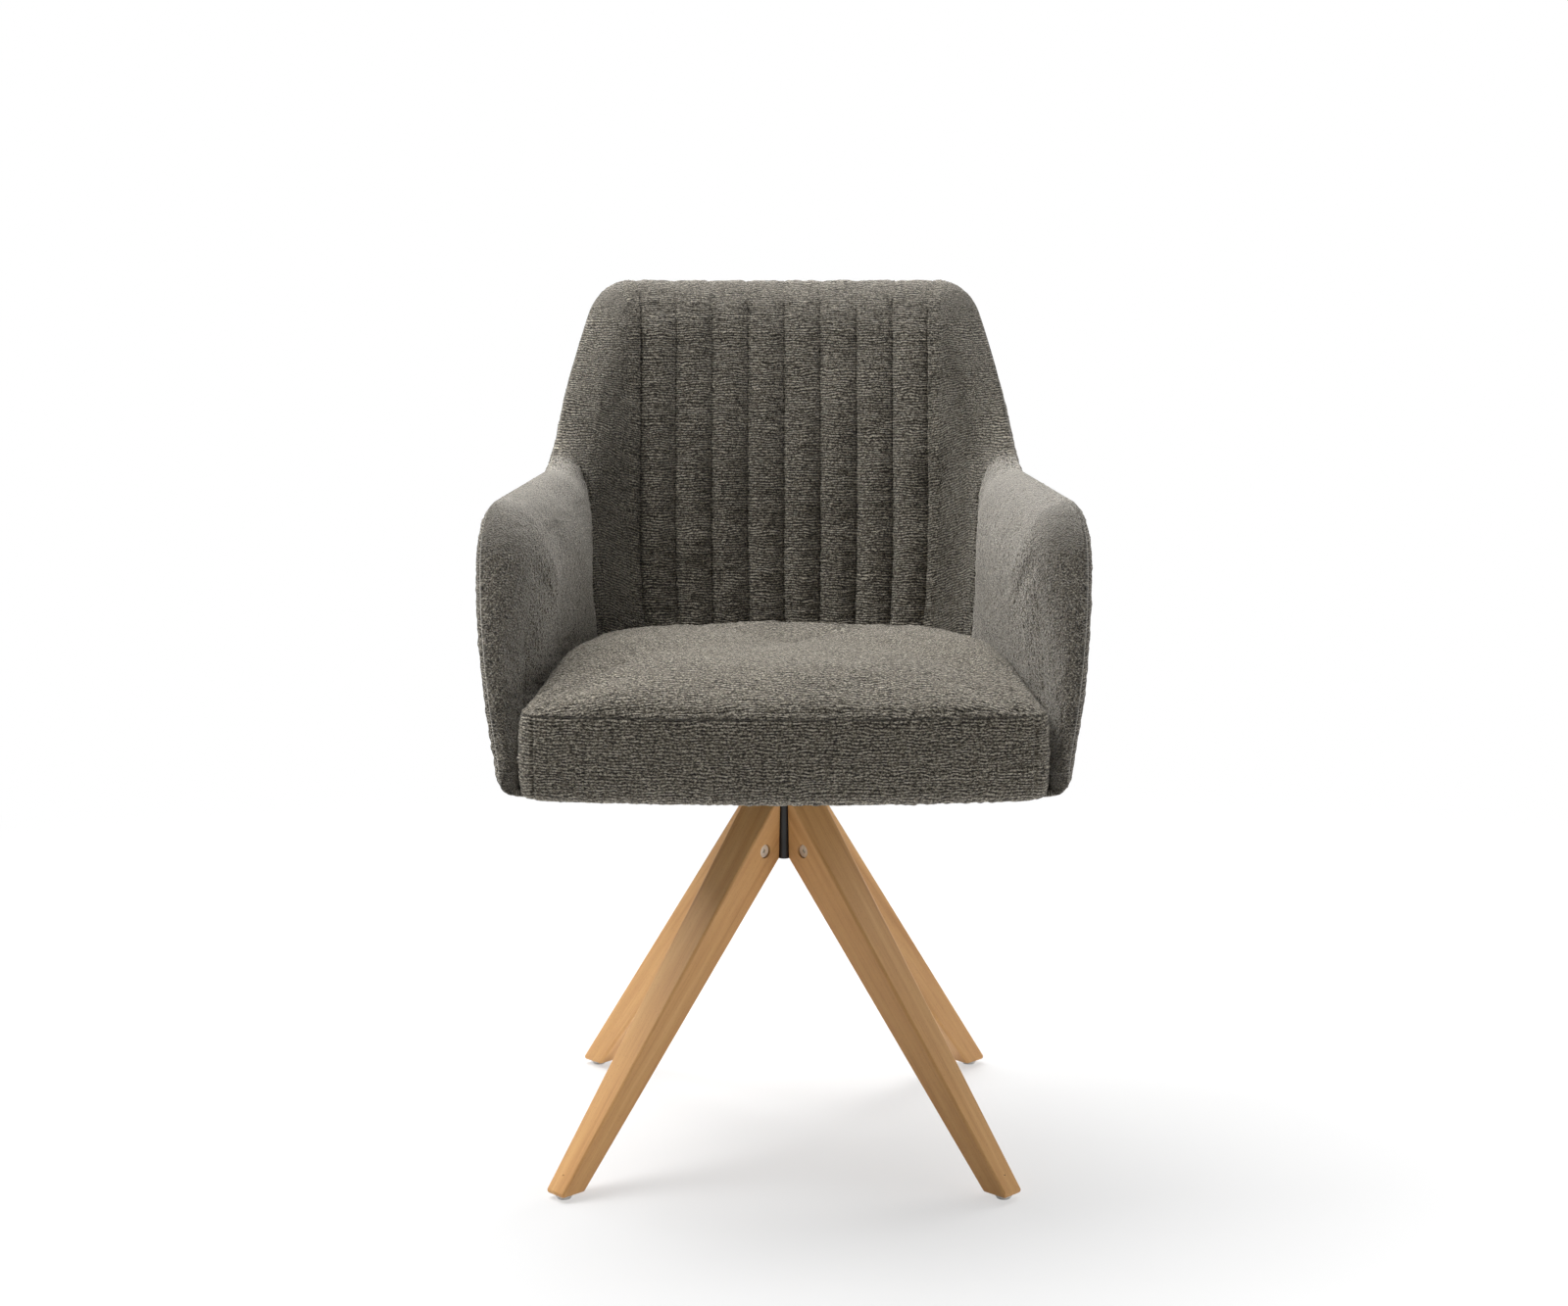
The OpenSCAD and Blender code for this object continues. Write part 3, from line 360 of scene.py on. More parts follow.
MID = (0, BACK_H)
WING = (WING_S, BACK_H)
NOTCH = (NOTCH_S, NOTCH_Z)
ARM = (ARM_S, ARM_Z)
SIDE_END_S = ARM_FOOT_S - 3.7
KNEE = (SIDE_END_S, BEND_Z)
TAIL = (SIDE_END_S, SKIN_END)
BACK_RIM = np.vstack([[0, BACK_H, 0, -1], fillet(MID, WING, NOTCH, WING_R, 0, 1),
                      fillet(WING, NOTCH, ARM, -NOTCH_R, 0, 0.5)])
SIDE_RIM = np.vstack([fillet(WING, NOTCH, ARM, -NOTCH_R, 0.5, 1),
                      fillet(NOTCH, ARM, KNEE, ARM_R, 0, 1),
                      fillet(ARM, KNEE, TAIL, 120, 0, 1), [*TAIL, -1, 0]])
PAD_END = BEND_Z - 1.2 * UNDER_R


def stations(rim, shares):
    """Rim rows at the given shares of the rim's length."""
    length = line_lengths(rim[:, :2])
    at = shares * length[-1]
    rows = np.stack([np.interp(at, length, rim[:, k]) for k in range(4)], axis=-1)
    rows[:, 2:] = unit(rows[:, 2:])
    return rows


def cut_short(rim, level):
    """Rim rows down to a lower level, with the last row on it."""
    rows = rim[rim[:, 1] > level]
    last = rim[len(rows)].copy()
    share = (rows[-1, 1] - level) / (rows[-1, 1] - last[1])
    return np.vstack([rows, mix(rows[-1], last, share)])


def paths(rim, foot, near, far_rows, lean=0.35):
    """Paths over the unrolled surface from each rim row to its foot, and their lengths.

    Straight in from the rim over the distances near, then a cubic curve that ends upright.
    """
    at, normal = rim[:, None, :2], rim[:, None, 2:]
    start = at + normal * near[-1]
    foot = foot[:, None, :]
    span = np.linalg.norm(foot - start, axis=-1, keepdims=True)
    t = np.linspace(0, 1, far_rows + 1)[None, 1:, None]
    down = np.array([0.0, -1.0])
    curve = ((2 * t ** 3 - 3 * t ** 2 + 1) * start
             + (t ** 3 - 2 * t ** 2 + t) * normal * span * lean
             + (3 * t ** 2 - 2 * t ** 3) * foot + (t ** 3 - t ** 2) * down * span * lean)
    path = np.concatenate([at + normal * near[None, :, None], curve], axis=1)
    step = np.linalg.norm(np.diff(path, axis=1), axis=-1)
    distance = near[0] + np.concatenate([np.zeros((len(rim), 1)), np.cumsum(step, axis=1)], axis=1)
    return path[..., 0], path[..., 1], distance


def mirrored(rows):
    """Rows of a half that starts in the middle, carried over to the other side too."""
    other = rows[:0:-1].copy()
    other[:, 0] *= -1
    if rows.shape[1] == 4:
        other[:, 2] *= -1
    return np.vstack([other, rows])


def grid_normals(p):
    """Unit normals of a grid of points, from its differences in both directions."""
    n = np.cross(np.gradient(p, axis=0), np.gradient(p, axis=1))
    return n / np.maximum(np.linalg.norm(n, axis=-1, keepdims=True), 1e-9)


def loop_mesh(name, loops, uv, ring=False):
    """Closed solid from closed loops side by side, in millimetres.

    loops is (loops, points, 3) and uv (loops, points + 1, 2). The ends are closed with fans,
    or with ring the last loop joins the first.
    """
    m, n = loops.shape[:2]
    points = loops.reshape(-1, 3) / 1000
    i, j = grid_faces(m, n, ring, True)
    corner_uv = uv[i % m, j].reshape(-1, 2)
    faces = (i % m * n + j % n).tolist()
    for row in () if ring else (0, m - 1):
        k = row * n + np.arange(n)
        faces += np.stack([k, np.roll(k, -1), np.full(n, len(points))], -1).tolist()
        points = np.vstack([points, points[k].mean(axis=0)])
        corner_uv = np.vstack([corner_uv, np.repeat(uv[row, :1], 3 * n, axis=0)])
    mesh = bpy.data.meshes.new(name)
    mesh.from_pydata(points.tolist(), [], faces)
    layer = mesh.uv_layers.new(name="cloth")
    layer.data.foreach_set("uv", (corner_uv / 1000).ravel())
    return finish_mesh(mesh)


def finish_mesh(mesh, merge=1e-6):
    """Joins doubles, turns the faces outwards and shades them smooth."""
    bm = bmesh.new()
    bm.from_mesh(mesh)
    bmesh.ops.remove_doubles(bm, verts=bm.verts, dist=merge)
    bmesh.ops.dissolve_degenerate(bm, edges=bm.edges, dist=1e-7)
    bmesh.ops.recalc_face_normals(bm, faces=bm.faces)
    bm.to_mesh(mesh)
    bm.free()
    mesh.polygons.foreach_set("use_smooth", np.ones(len(mesh.polygons), bool))
    mesh.update()
    return mesh


def piece(name, mesh, material, replaced=()):
    """Object of a mesh that rides on the seat and stands for the solids it replaces."""
    ob = new_object(name, mesh)
    mesh.materials.append(material)
    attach(ob, "seat")
    if replaced:
        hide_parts(*replaced)
    return ob


# Materials
FLOAT, VECTOR, COLOUR = "NodeSocketFloat", "NodeSocketVector", "NodeSocketColor"


def new_group(name, inputs, outputs):
    """Empty shader node group with the given sockets."""
    tree = bpy.data.node_groups.new(name, "ShaderNodeTree")
    for label, kind, value in inputs:
        socket = tree.interface.new_socket(name=label, in_out="INPUT", socket_type=kind)
        if value is not None:
            socket.default_value = value
    for label, kind in outputs:
        tree.interface.new_socket(name=label, in_out="OUTPUT", socket_type=kind)
    return tree, tree.nodes.new("NodeGroupInput"), tree.nodes.new("NodeGroupOutput")


def connect(tree, node, values):
    """Inputs of a node by name or number: set to a value, or linked to another node's output."""
    for key, value in values.items():
        if isinstance(value, bpy.types.NodeSocket):
            tree.links.new(value, node.inputs[key])
        else:
            node.inputs[key].default_value = value


def add(tree, kind, values=None, **settings):
    """Node of a tree with its settings and inputs."""
    node = tree.nodes.new(kind)
    for key, value in settings.items():
        setattr(node, key, value)
    connect(tree, node, values or {})
    return node


def math_node(tree, operation, *values):
    """Result of a math node on numbers and outputs of other nodes."""
    return add(tree, "ShaderNodeMath", dict(enumerate(values)), operation=operation).outputs[0]


def ramp(tree, factor, stops):
    """Colour ramp over a value, with stops of (place, linear colour)."""
    node = add(tree, "ShaderNodeValToRGB", {0: factor})
    node.color_ramp.interpolation = "EASE"
    elements = node.color_ramp.elements
    while len(elements) < len(stops):
        elements.new(0.5)
    for element, (place, colour) in zip(elements, stops):
        element.position = place
        element.color = (*colour, 1)
    return node.outputs[0]


def stretched(tree, vector, scale):
    """Coordinates times a scale for each axis."""
    return add(tree, "ShaderNodeMapping", {"Vector": vector, "Scale": scale}).outputs[0]


def noise(tree, vector, scale, detail=2.0, roughness=0.5, distortion=0.0):
    """Value of a noise with about so many spots to the metre along each axis."""
    return add(tree, "ShaderNodeTexNoise", {
        "Vector": stretched(tree, vector, scale), "Scale": 1.0, "Detail": detail,
        "Roughness": roughness, "Distortion": distortion}).outputs["Fac"]


def cells(tree, vector, scale):
    """Distance from the centres of scattered cells."""
    return add(tree, "ShaderNodeTexVoronoi", {
        "Vector": stretched(tree, vector, scale), "Scale": 1.0, "Randomness": 1.0},
        feature="F1").outputs["Distance"]


def blended(tree, blend, share, first, second):
    """Two colours mixed by a share, in one of the ways to mix."""
    return add(tree, "ShaderNodeMix", {"Factor": share, "A": first, "B": second},
               data_type="RGBA", blend_type=blend).outputs["Result"]


RIB_PITCH = 0.0028


def chenille_group():
    """Chenille cloth on coordinates in metres, ribs along the first: colour, height, roughness.

    Ribs are a sine across, bent and faded by noise. Slubs are short flat streaks, loops are the
    distance from scattered cell centres, nubs and tufts are noise, and patches are where the pile
    lies another way. The colour is darker where the height is low, partly as painted shade in the
    valleys.
    """
    tree, gin, gout = new_group(
        "Chenille", [("Vector", VECTOR, None), ("Rib", FLOAT, 1.0), ("Painted Light Level", FLOAT, 0.0)],
        [("Color", COLOUR), ("Height", FLOAT), ("Roughness", FLOAT)])
    vector, rib = gin.outputs["Vector"], gin.outputs["Rib"]

    def centred(value, amount):
        """Value of 0 to 1 moved to swing round 0 by an amount."""
        return math_node(tree, "MULTIPLY", math_node(tree, "SUBTRACT", value, 0.5), amount)

    bend = noise(tree, vector, (36, 60, 1))
    along_second = add(tree, "ShaderNodeSeparateXYZ", {0: vector}).outputs["Y"]
    across = math_node(tree, "ADD", along_second, centred(bend, 0.0090))
    wave = math_node(tree, "SINE", math_node(tree, "MULTIPLY", across, 2 * math.pi / RIB_PITCH))
    fade = noise(tree, vector, (130, 170, 1))
    ribs = math_node(tree, "MULTIPLY", wave, math_node(tree, "MULTIPLY", fade, rib))
    loop = math_node(tree, "SUBTRACT", 0.93, cells(tree, vector, (560, 860, 1)))
    slub = centred(noise(tree, vector, (190, 620, 1), 3.0, 0.65), 1.1)
    slub = math_node(tree, "MULTIPLY", slub, math_node(tree, "MULTIPLY_ADD", rib, 0.6, 0.4))
    nub = noise(tree, vector, (470, 700, 1), 2.0, 0.6)
    tuft = noise(tree, vector, (190, 300, 1))
    patch = noise(tree, vector, (13, 20, 1), 3.0, 0.6)
    height = math_node(tree, "MULTIPLY_ADD", ribs, 0.34, slub)
    for value, amount in ((loop, 0.6), (nub, 1.25), (tuft, 0.25)):
        height = math_node(tree, "ADD", height, centred(value, amount))
    # Colour follows the height: low valleys between ribs, loops and nubs are dark partly as the
    # pile's own colour and partly as painted shade, and raised tips are paler
    tone_with_painted_shade = math_node(tree, "ADD", height, centred(patch, 0.10))
    # Shade lifts the whole tone as painted light above 0 and lowers it as painted shade below 0,
    # set for how each piece is lit
    tone_with_painted_shade = math_node(tree, "ADD", math_node(tree, "ADD", tone_with_painted_shade, gin.outputs["Painted Light Level"]), 0.5)
    connect(tree, gout, {
        "Color": ramp(tree, tone_with_painted_shade, [(0.18, (0.013, 0.011, 0.008)), (0.40, (0.092, 0.080, 0.060)),
                                   (0.58, (0.255, 0.228, 0.178)), (0.82, (0.640, 0.585, 0.480))]),
        "Height": math_node(tree, "ADD", height, 0.5),
        "Roughness": math_node(tree, "MULTIPLY_ADD", nub, 0.12, 0.86)})
    return tree


def grain_group():
    """Beech on coordinates in metres with the grain along Z: colour, height, roughness.

    Broad bands, fine fibre laid over them and short dark flecks.
    """
    tree, gin, gout = new_group("BeechGrain", [("Vector", VECTOR, None)],
                                [("Color", COLOUR), ("Height", FLOAT), ("Roughness", FLOAT)])
    vector = gin.outputs["Vector"]
    bands = noise(tree, vector, (95, 95, 2.2), 4.0, 0.55, 0.6)
    fibre = noise(tree, vector, (900, 900, 16), 3.0, 0.6)
    dash = ramp(tree, cells(tree, vector, (950, 950, 190)), [(0.10, (1, 1, 1)), (0.24, (0, 0, 0))])
    base = ramp(tree, bands, [(0.30, (0.540, 0.278, 0.098)), (0.50, (0.630, 0.345, 0.133)),
                              (0.72, (0.700, 0.408, 0.170))])
    fine = blended(tree, "OVERLAY", 0.22, base, fibre)
    fleck = blended(tree, "MULTIPLY", math_node(tree, "MULTIPLY", dash, 0.55), fine,
                    (0.62, 0.50, 0.40, 1))
    connect(tree, gout, {
        "Color": fleck,
        "Height": math_node(tree, "SUBTRACT", math_node(tree, "MULTIPLY", fibre, 0.5),
                            math_node(tree, "MULTIPLY", dash, 0.5)),
        "Roughness": math_node(tree, "MULTIPLY_ADD", fibre, 0.16, 0.42)})
    return tree


def speckle_group():
    """Fine uneven finish on object coordinates: a value round 0.5, and a larger patchy one."""
    tree, gin, gout = new_group(
        "Speckle", [("Vector", VECTOR, None), ("Fine", FLOAT, 900.0), ("Broad", FLOAT, 40.0)],
        [("Fine", FLOAT), ("Broad", FLOAT)])
    for label in ("Fine", "Broad"):
        node = add(tree, "ShaderNodeTexNoise", {
            "Vector": gin.outputs["Vector"], "Scale": gin.outputs[label], "Detail": 3.0,
            "Roughness": 0.55})
        connect(tree, gout, {label: node.outputs["Fac"]})
    return tree


chenille, beech_grain, speckle = chenille_group(), grain_group(), speckle_group()


def new_material(name):
    """Material, its node tree and its shader."""
    material = bpy.data.materials.new(name)
    material.use_nodes = True
    return material, material.node_tree, material.node_tree.nodes["Principled BSDF"]


def object_place(tree):
    """The object's own coordinates."""
    return add(tree, "ShaderNodeTexCoord").outputs["Object"]


def surface(tree, shader, look, strength, distance):
    """Colour, roughness and bump of a shader from the outputs of a group."""
    bump = add(tree, "ShaderNodeBump", {
        "Height": look.outputs["Height"], "Strength": strength, "Distance": distance})
    connect(tree, shader, {
        "Base Color": look.outputs["Color"], "Roughness": look.outputs["Roughness"],
        "Normal": bump.outputs[0]})


def fabric_material(name, rib, sheen, painted_light_level):
    """Taupe chenille with a soft pile sheen, on the piece's own cloth coordinates."""
    # The shade value brightens or darkens this copy of the one chenille: painted light above 0,
    # painted shade below 0
    material, tree, shader = new_material(name)
    place = add(tree, "ShaderNodeUVMap", uv_map="cloth").outputs[0]
    cloth = add(tree, "ShaderNodeGroup", {"Vector": place, "Rib": rib, "Painted Light Level": painted_light_level},
                node_tree=chenille)
    surface(tree, shader, cloth, 1.0, 0.0027)
    connect(tree, shader, {
        "Sheen Weight": sheen, "Sheen Roughness": 0.42, "Sheen Tint": (1.0, 0.955, 0.885, 1),
        "Specular IOR Level": 0.18})
    return material


LEG_LEAN = math.radians(40.2)


def wood_material(name, turn, offset):
    """Oiled beech for the leg that stands turn degrees round from +X.

    The object's coordinates are turned so that the grain runs along the leg's own lean.
    """
    material, tree, shader = new_material(name)
    lean = add(tree, "ShaderNodeMapping", {
        "Vector": object_place(tree), "Rotation": (0, 0, -math.radians(turn))})
    turned = add(tree, "ShaderNodeMapping", {
        "Vector": lean.outputs[0], "Rotation": (0, LEG_LEAN, 0), "Location": offset})
    grain = add(tree, "ShaderNodeGroup", {"Vector": turned.outputs[0]}, node_tree=beech_grain)
    surface(tree, shader, grain, 0.25, 0.0004)
    connect(tree, shader, {"Specular IOR Level": 0.35})
    return material


def grey(level):
    """Colour of equal parts."""
    return level, level, level


def plain_material(name, low, high, rough, metallic=0.0, fine=900.0, broad=40.0,
                   bump=0.15, depth=0.0002, brushed=None):
    """Finish with fine unevenness: colour from low to high over broad patches, uneven gloss."""
    material, tree, shader = new_material(name)
    place = object_place(tree)
    if brushed:
        place = stretched(tree, place, brushed)
    spots = add(tree, "ShaderNodeGroup", {"Vector": place, "Fine": fine, "Broad": broad},
                node_tree=speckle).outputs
    hills = add(tree, "ShaderNodeBump", {
        "Height": spots["Fine"], "Strength": bump, "Distance": depth})
    connect(tree, shader, {
        "Base Color": ramp(tree, spots["Broad"], [(0.3, low), (0.7, high)]),
        "Roughness": math_node(tree, "MULTIPLY_ADD", spots["Fine"], rough[1] - rough[0], rough[0]),
        "Metallic": metallic, "Normal": hills.outputs[0]})
    return material


PLY_PAIR = 0.0028


def plywood_material():
    """Birch plywood: level plies across Z, paler and darker in turn, with fine grain."""
    material = plain_material("plywood", (0.46, 0.33, 0.19), (0.60, 0.46, 0.29), (0.55, 0.75),
                              fine=600.0, broad=60.0, bump=0.2, depth=0.0003)
    tree = material.node_tree
    base = tree.nodes["Principled BSDF"].inputs["Base Color"]
    level = add(tree, "ShaderNodeSeparateXYZ", {0: object_place(tree)}).outputs["Z"]
    ply = math_node(tree, "FRACT", math_node(tree, "MULTIPLY", level, 1 / PLY_PAIR))
    dark = math_node(tree, "GREATER_THAN", ply, 0.5)
    layers = blended(tree, "MULTIPLY", math_node(tree, "MULTIPLY", dark, 0.6),
                     base.links[0].from_socket, (0.70, 0.62, 0.52, 1))
    tree.links.new(layers, base)
    return material


# The four copies are one chenille; their shade values are painted light on the seat and painted
# shade on the back, arms and covers, for how each piece is lit
cloth_back = fabric_material("chenille_back", rib=1.4, sheen=0.5, painted_light_level=-0.045)
cloth_arm = fabric_material("chenille_arm", rib=0.3, sheen=1.0, painted_light_level=-0.035)
cloth_seat = fabric_material("chenille_seat", rib=1.0, sheen=0.35, painted_light_level=0.015)
cloth_cover = fabric_material("chenille_cover", rib=0.9, sheen=0.6, painted_light_level=-0.03)
thread = plain_material("sewing_thread", (0.055, 0.050, 0.042), (0.085, 0.078, 0.066), (0.6, 0.8),
                        fine=3000.0, bump=0.3)

# Finish of each material slot of the solids
FINISHES = {
    "black_steel": plain_material(
        "black_powder_coat", grey(0.010), grey(0.018), (0.38, 0.55),
        fine=1400.0, bump=0.35),
    "steel": plain_material(
        "turned_steel", grey(0.42), (0.56, 0.56, 0.55), (0.22, 0.40), metallic=1.0,
        brushed=(1, 1, 30)),
    "zinc": plain_material(
        "zinc_plate", (0.50, 0.51, 0.52), (0.66, 0.66, 0.64), (0.28, 0.46), metallic=1.0),
    "nickel": plain_material(
        "nickel_plate", (0.60, 0.55, 0.47), (0.74, 0.69, 0.61), (0.36, 0.50), metallic=1.0),
    "white_nylon": plain_material(
        "white_nylon", (0.70, 0.70, 0.68), (0.80, 0.80, 0.78), (0.35, 0.55), broad=120.0),
    "black_plastic": plain_material(
        "black_plastic", grey(0.012), grey(0.022), (0.45, 0.6),
        fine=1800.0, bump=0.3),
    "felt": plain_material(
        "black_lining", grey(0.008), grey(0.022), (0.85, 0.95),
        fine=2200.0, broad=260.0, bump=0.6, depth=0.0004),
    "plywood": plywood_material()}
LEGS = (("leg_back_right", 45), ("leg_back_left", 135), ("leg_front_left", 225),
        ("leg_front_right", 315))


def finish_node(node, material):
    """Material on all of a CAD node."""
    for holder in frame["nodes"][node].material_slots:
        holder.material = material


for part in frame["record"]["subparts"]:
    if part["material_slot"] in FINISHES:
        finish_node(part["node"], FINISHES[part["material_slot"]])
for number, (leg, turn) in enumerate(LEGS):
    finish_node(leg, wood_material("beech_" + leg, turn,
                                   (0.37 * number, 0.11 * number, 0.53 * number)))


# Padding of the back and arms
def from_channel_seam(a):
    """Distance from the nearest channel seam, at distance a from the middle."""
    return np.abs(a - np.clip(np.round(a / CHANNEL_PITCH), 0, CHANNELS) * CHANNEL_PITCH)


def channel_groove(s, z):
    """Depth of the sewn channels: a pillow between seams and a narrow crease at each seam."""
    away = from_channel_seam(np.abs(s))
    beyond = np.abs(s) > CHANNELS * CHANNEL_PITCH
    share = away / np.where(beyond, 15.0, CHANNEL_PITCH / 2)
    hollow = 0.45 * (1 - round_in(share)) + 0.55 * (1 - np.clip(share, 0, 1)) ** 2
    depth = mix(5.0, 8.0, np.clip((BACK_H - z) / (BACK_H - SEAT_EDGE_Z), 0, 1))
    depth = depth * np.where(beyond, 0.22, 1.0) * mix(0.4, 1, smooth((BACK_H - 8 - z) / 70))
    crease = 0.7 * np.exp(-(away / 1.5) ** 2) * smooth((BACK_H - 10 - z) / 40)
    pucker = 0.4 * np.exp(-away / 6) * waves(s * 0, z, 10, 9, 31)
    return depth * hollow + crease + pucker


def seam_groove(away, z, seed, valley):
    """Valley at the seam between back and arm, a second stitched row beside it, and puckers."""
    hollow = valley * (1 - np.clip(away / 14.0, 0, 1)) ** 2
    stitched = 0.7 * np.exp(-((away - STITCHED_ROW) / 1.1) ** 2)
    pucker = 0.5 * np.exp(-away / 11) * waves(away * 0.2, z, 12, 8, seed)
    return hollow + stitched + pucker


def pad_loops(rim, foot, groove, seed, far_rows, towards, held=(), flat_sides=False):
    """Loops of a pad, their cloth coordinates, and the grid of its inner face.

    Each loop runs from the seam on the outside over the rim, down the inner face to the foot and
    back up behind. Its depth follows ellipses on both sides of the rim's tip. The face is filled
    by simulation, held at its edges and at the columns in held. Then come the groove, low waves
    where the filling has settled and the pile's fine unevenness.
    """
    outer = np.linspace(SEAM_ANGLE, 0, 7)[:-1]
    inner = np.linspace(0, math.acos(1 - 25 / RIM_INNER_R), 17)
    near = RIM_INNER_R * (1 - np.cos(inner))
    s, w, d = paths(rim, foot, near, far_rows)
    tip_z, tip = skin(rim[:, 1:2], rim_rise(rim))
    rise = round_in(d / RIM_INNER_R)
    z = skin(w, 0)[0] + (tip_z - skin(rim[:, 1:2], 0)[0]) * (1 - rise)
    full = thickness(s, z)
    sewn = groove(s, z)
    settled = rise * (0.9 * waves(s, z, 90, 110, seed) + 0.3 * waves(s, z, 17, 13, seed + 1))
    over = (full - tip) * (1 - rise) * (d < RIM_INNER_R)
    level = np.abs(rim[:, 3])
    level = smooth((level - 0.4) / 0.55) * (rim[:, 0] ** 2 < 240 ** 2) if flat_sides else level ** 2
    pull = np.stack([np.sign(rim[:, 2]) * np.sqrt(1 - level ** 2), -level], -1)[:, None]
    uv = np.stack([s, w], -1) - pull * over[..., None]
    out_d = RIM_OUTER_R * (1 - np.cos(outer))
    out_s = rim[:, 0, None] + rim[:, 2, None] * out_d
    out_w = rim[:, 1, None] + rim[:, 3, None] * out_d
    out_z, out_e = skin(out_w, rim_rise(rim) * (1 - np.sin(outer)))
    out_uv = np.stack([out_s, out_w], -1) - pull * (full[:, :1] - out_e)[..., None]
    rows = rows_back(3, s.shape[1] - 1, 14)
    depth = tip + (full - sewn - tip) * rise - settled
    back_depth = np.where(d[:, rows] > 26, PAD_BACK, 9.0)
    back_depth = np.minimum(np.maximum(back_depth, out_e[:, :1] + 1), depth[:, rows] - 1)
    outside = bucket(out_s, out_z, out_e)
    plain = np.concatenate([outside, bucket(s, z, tip + (full - tip) * rise)], axis=1)
    pinned = plain[..., 2] < SEAT_EDGE_Z + 6
    pinned[:, :8] = True
    pinned[[0, 1, -2, -1]] = True
    for column in held:
        pinned[column, 24:] = True
    front = np.concatenate([outside, bucket(s, z, depth)], axis=1)
    front = napped(front + filled(plain, pinned, (4, 5), towards), seed)
    hem_z, hem = skin(out_w[:, :1], rim_rise(rim) * 0.47 + 2.2)
    loops = np.concatenate([bucket(out_s[:, :1], hem_z, hem), front,
                            bucket(s[:, rows], z[:, rows], back_depth)], axis=1)
    uv = np.concatenate([out_uv[:, :1], out_uv, uv, uv[:, rows], uv[:, rows[-1:]]], axis=1)
    return loops, uv, (s, z, front[:, outer.size:])


# Columns of the back: packed towards each channel seam, then towards both ends of the wing
steps = 16
inside_channel = CHANNEL_PITCH * (1 - np.cos(math.pi * np.arange(steps) / steps)) / 2
channel_s = (np.arange(CHANNELS)[:, None] * CHANNEL_PITCH + inside_channel).ravel()
none = np.zeros_like(channel_s)
top_rows = np.stack([channel_s, none + BACK_H, none, none - 1], -1)
channel_end = CHANNELS * CHANNEL_PITCH
wing_rim = BACK_RIM.copy()
wing_rim[0] = (channel_end, BACK_H, 0, -1)
packed = crowded(np.linspace(0, 1, 105), 0.85)
half_rim = np.vstack([top_rows, stations(wing_rim, packed)])
half_rim[-1, 0] -= SEAM_GAP
# The top edge dips at each channel seam
dip = 1.2 * (1 - np.clip(from_channel_seam(half_rim[:, 0]) / 12, 0, 1)) ** 2
half_rim[:, 1] -= 1.2 + dip * (half_rim[:, 3] < -0.99)
back_rim = mirrored(half_rim)
wing_feet = mix(channel_end, SEAM_S, packed)


def feet(level):
    """Places on the lower edge that the back's columns run to."""
    half = np.concatenate([channel_s, wing_feet])
    return mirrored(np.stack([half, np.full_like(half, level)], -1))


seam_end = np.array([[SEAM_S, PAD_Z]])
seam_path = paths(half_rim[-1:], seam_end, near=np.array([0.0, 25.0]), far_rows=40)
seam_path_s, seam_path_z = (line[0][np.argsort(seam_path[1][0])] for line in seam_path[:2])


def beside_seam(s, z):
    """Distance of a place from the seam between back and arm, at its height."""
    return np.abs(np.abs(s) - np.interp(z, seam_path_z, seam_path_s))


middle = len(half_rim) - 1
sewn_columns = middle + steps * np.arange(-CHANNELS, CHANNELS + 1)
back_loops, back_uv, back_face = pad_loops(
    back_rim, feet(PAD_Z),
    lambda s, z: channel_groove(s, z) + seam_groove(beside_seam(s, z), z, 5, valley=3.0),
    seed=11, far_rows=200, towards=(0, -1, 0), held=sewn_columns, flat_sides=True)
# The ribs of the cloth are drawn down over the wings
wing = np.maximum(0, np.abs(back_uv[..., 0]) - channel_end + 3)
back_uv[..., 1] -= np.minimum(0.2 * wing * smooth((830 - back_uv[..., 1]) / 150), 18)
back_pad = piece("back_padding", loop_mesh("back_padding", back_loops, back_uv),
                 cloth_back, ["back_cushion"])

share = np.linspace(0, 1, 240)
arm_share = mix(crowded(share, 0.7), share, smooth(share * 4))
arm_rim = stations(cut_short(SIDE_RIM, PAD_END), arm_share)
side_rim = stations(SIDE_RIM, arm_share)
arm_rim[0, 0] += SEAM_GAP
side_rim[0, 0] += SEAM_GAP


def arm_feet(rim, level, last):
    """Places on the lower edge, or level with a lower rim, that the columns of an arm run to."""
    across = mix(SEAM_S, last, np.minimum(1, arm_share * 1.05))
    return np.stack([across, np.minimum(level, rim[:, 1])], -1)


def mirror_x(points):
    """Points of the right side carried over to the left."""
    return points * np.array([-1.0, 1.0, 1.0])


for side, seed in (("right", 21), ("left", 41)):
    loops, uv, _ = pad_loops(
        arm_rim, arm_feet(arm_rim, PAD_Z, ARM_FOOT_S - 40),
        lambda s, z: seam_groove(beside_seam(s, z), z, seed, valley=1.5) * (s < 420),
        seed, far_rows=110, towards=(-1, 0, 0))
    if side == "left":
        loops = mirror_x(loops)
    arm_pad = piece("arm_padding_" + side, loop_mesh("arm_padding_" + side, loops, uv),
                    cloth_arm, ["arm_pad_" + side])


